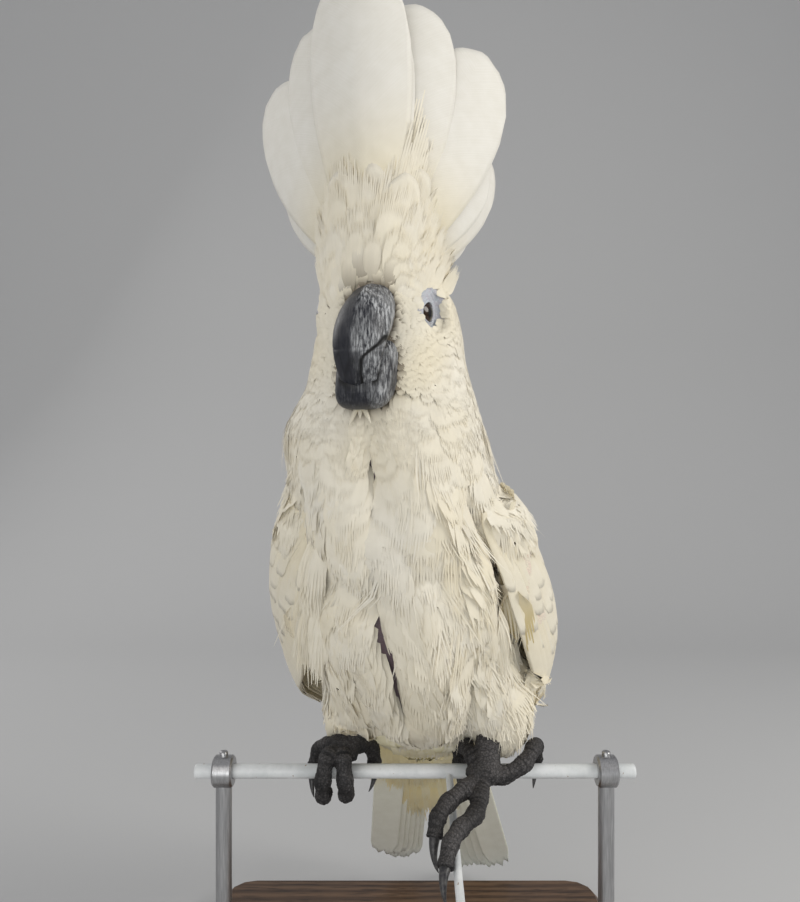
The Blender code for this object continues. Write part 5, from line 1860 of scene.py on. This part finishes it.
def build_claw(side, number, skin):
    """A hooked claw that carries on its toe's last bend, tapering to a point and slightly flattened across.
    """
    line = toe_line(side, number, 2)
    heading = unit(line[-1] - line[-2])
    bend = np.cross(line[-1] - line[-2], line[-2] - line[-4])
    axis = -unit(bend) if np.linalg.norm(bend) > 1e-3 else np.array([1.0, 0, 0])
    points, radii, place = [], [], line[-1] - heading * CLAW_SUNK
    for share in np.linspace(0, 1, CLAW_STEPS).tolist():
        points.append(place)
        radii.append(2.35 * (1 - share) ** 0.8 * (1 if share < 1 else 0) + 0.12)
        place = place + heading * ((CLAW_LENGTH + CLAW_SUNK) / CLAW_STEPS)
        turn = math.radians(CLAW_BEND / CLAW_STEPS) if share > 0.15 else 0.0
        heading = unit(heading * math.cos(turn) + np.cross(axis, heading) * math.sin(turn))
    rings = swept(points, radii, 20, 0.85)
    tube_mesh(f"talon_{side}_{number}", rings, skin, [f"claw_{side}_{number}"])


# ---------------------------------------------------------------- perch and stand
COLLAR_SIDES = 56


def node_span(name):
    low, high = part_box(name)
    return np.array(low) / MM - RAIL, np.array(high) / MM - RAIL


def rounded_bar(name, start, end, radius, skin, replaces, round_ends=0.6, wobble=0.0):
    """A long round bar with softened ends and, for enamelled wire, an uneven coat."""
    start, end = np.asarray(start, float), np.asarray(end, float)
    length = np.linalg.norm(end - start)
    stops = np.concatenate([[0, 0.25, 0.6], np.linspace(1.2, length - 1.2, 90),
                            [length - 0.6, length - 0.25, length]])
    line = start + unit(end - start) * stops[:, None]
    rim = np.minimum(stops, length - stops)
    radii = radius - round_ends * np.clip(1 - rim / 0.8, 0, 1) ** 2
    rings = swept(line, radii, 40)
    if wobble:
        centres = line[:, None, :]
        out = unit(rings - centres)
        bumps = ripple(rings.reshape(-1, 3), 5.0, SEED + 5).reshape(rings.shape[:2])
        rings = rings + out * (bumps * wobble)[..., None]
    return tube_mesh(name, rings, skin, replaces)


def build_perch(enamel, steel, wood):
    low, high = node_span("perch_rail")
    rounded_bar("rail", (low[0], 0, 0), (high[0], 0, 0), (high[2] - low[2]) / 2, enamel,
                ["perch_rail"], 0.8, 0.05)
    low, high = node_span("perch_wire")
    radius, x = (high[0] - low[0]) / 2, (high[0] + low[0]) / 2
    rounded_bar("rail_wire", (x, 0, -0.8), (x, low[1] + 0.5, low[2] + radius), radius, enamel,
                ["perch_wire"], 0.4, 0.04)
    for side in SIDES:
        low, high = node_span(f"stand_rod_{side}")
        x = (low[0] + high[0]) / 2
        rounded_bar(f"stand_post_{side}", (x, 0, low[2]), (x, 0, -4), 3.6, steel,
                    [f"stand_rod_{side}"], 0.3)
        ring_outer, ring_inner, half = 7.0, 3.45, (high[0] - low[0]) / 2
        profile = [(-half, ring_inner), (-half, ring_outer - 0.8), (-half + 0.8, ring_outer),
                   (half - 0.8, ring_outer), (half, ring_outer - 0.8), (half, ring_inner)]
        turns = full_turn(COLLAR_SIDES)
        rings = [[(x + a, r * math.cos(k), r * math.sin(k)) for k in turns] for a, r in profile]
        rings.append(rings[0])
        rows = np.array(rings)
        faces = grid_faces(len(profile) + 1, COLLAR_SIDES, closed=True).tolist()
        collar = mesh_piece(f"stand_collar_{side}", rows.reshape(-1, 3), faces, steel)
        collar.data.set_sharp_from_angle(angle=math.radians(35))
        screw_rings = [[(x + s * math.cos(k), s * math.sin(k), z) for k in turns]
                       for s, z in ((1.9, 6.6), (1.9, 8.6), (1.5, 9.0))]
        tube_mesh(f"stand_screw_{side}", screw_rings, steel)
    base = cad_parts["stand_base"]
    base.data.materials.clear()
    base.data.materials.append(wood)


# ---------------------------------------------------------------- light, floor and camera
def build_stage():
    mesh = bpy.data.meshes.new("studio_floor")
    work = bmesh.new()
    line = [(-3.0, 0.0), (0.75, 0.0)]
    for k in range(1, 9):
        angle = math.pi / 2 * k / 8
        line.append((0.75 + 0.5 * math.sin(angle), 0.5 - 0.5 * math.cos(angle)))
    line.append((1.25, 3.0))
    rows = [[work.verts.new((x, y, z)) for y, z in line] for x in (-3.0, 3.0)]
    for i in range(len(line) - 1):
        work.faces.new((rows[0][i], rows[1][i], rows[1][i + 1], rows[0][i + 1]))
    work.to_mesh(mesh)
    work.free()
    mesh.shade_smooth()
    floor = linked("studio_floor", mesh)
    made, tree, shader = new_material("studio_paper", 0.9, 0.1)
    shader.inputs["Base Color"].default_value = (0.56, 0.565, 0.57, 1)
    mesh.materials.append(made)


def area_light(name, place, target, size, power, colour):
    data = bpy.data.lights.new(name, "AREA")
    data.shape = "DISK"
    data.size = size
    data.energy = power
    data.color = colour
    made = linked(name, data)
    made.location = place
    made.rotation_euler = (Vector(target) - Vector(place)).to_track_quat("-Z", "Y").to_euler()


def build_lights():
    aim = (0, 0, 0.28)
    area_light("key", (0.95, -0.35, 0.72), aim, 0.6, 6.6, (1.0, 0.97, 0.91))
    area_light("fill", (-0.8, -1.3, 0.9), aim, 1.4, 4.6, (1.0, 0.97, 0.92))
    area_light("low", (-0.2, -1.2, 0.06), (0, 0, 0.12), 0.9, 4.0, (0.97, 0.99, 0.97))
    area_light("rim", (-0.9, 0.7, 0.8), aim, 0.6, 2.6, (1.0, 0.98, 0.95))
    world = bpy.data.worlds.new("studio")
    bpy.context.scene.world = world
    world.use_nodes = True
    world.node_tree.nodes["Background"].inputs["Color"].default_value = (0.98, 0.98, 1.0, 1)
    world.node_tree.nodes["Background"].inputs["Strength"].default_value = 0.42
    bpy.context.scene.view_settings.view_transform = "Standard"


def build_camera():
    data = bpy.data.cameras.new("camera")
    data.sensor_width = 36.0
    data.sensor_fit = "AUTO"
    data.lens = CAMERA_FOCAL / max(IMAGE_SIZE) * data.sensor_width
    data.clip_start = 0.01
    made = linked("camera", data)
    made.location = to_world(CAMERA_PLACE)
    made.rotation_euler = (math.pi / 2, 0, 0)
    bpy.context.scene.camera = made


# ---------------------------------------------------------------- the whole scene
def build():
    rng = np.random.default_rng(SEED)
    build_stage()
    build_lights()
    build_camera()
    soft_white = plumage_material("soft_plumage")
    vane_white = plumage_material("vane_plumage", 130.0)
    plume_white = plumage_material("crest_plumage", 260.0)
    build_skin(skin_material())
    build_eyes(eye_material())
    bill_horn = horn_material()
    build_bill(bill_horn)
    build_tongue(bill_horn)
    scales, talon = foot_material(), claw_material()
    for side in SIDES:
        build_foot(side, scales)
        for number in TOES[side]:
            build_claw(side, number, talon)
    build_perch(enamel_material(), steel_material(), wood_material())
    build_coat(soft_white, rng)
    build_flank_locks(soft_white, np.random.default_rng(SEED + 9))
    build_crest(plume_white, rng)
    build_forehead(soft_white, plume_white, rng)
    build_chin(vane_white, rng)
    for side in SIDES:
        build_wing(side, vane_white, rng)
    build_tail(vane_white, soft_white, rng)


build()
bpy.context.view_layer.update()
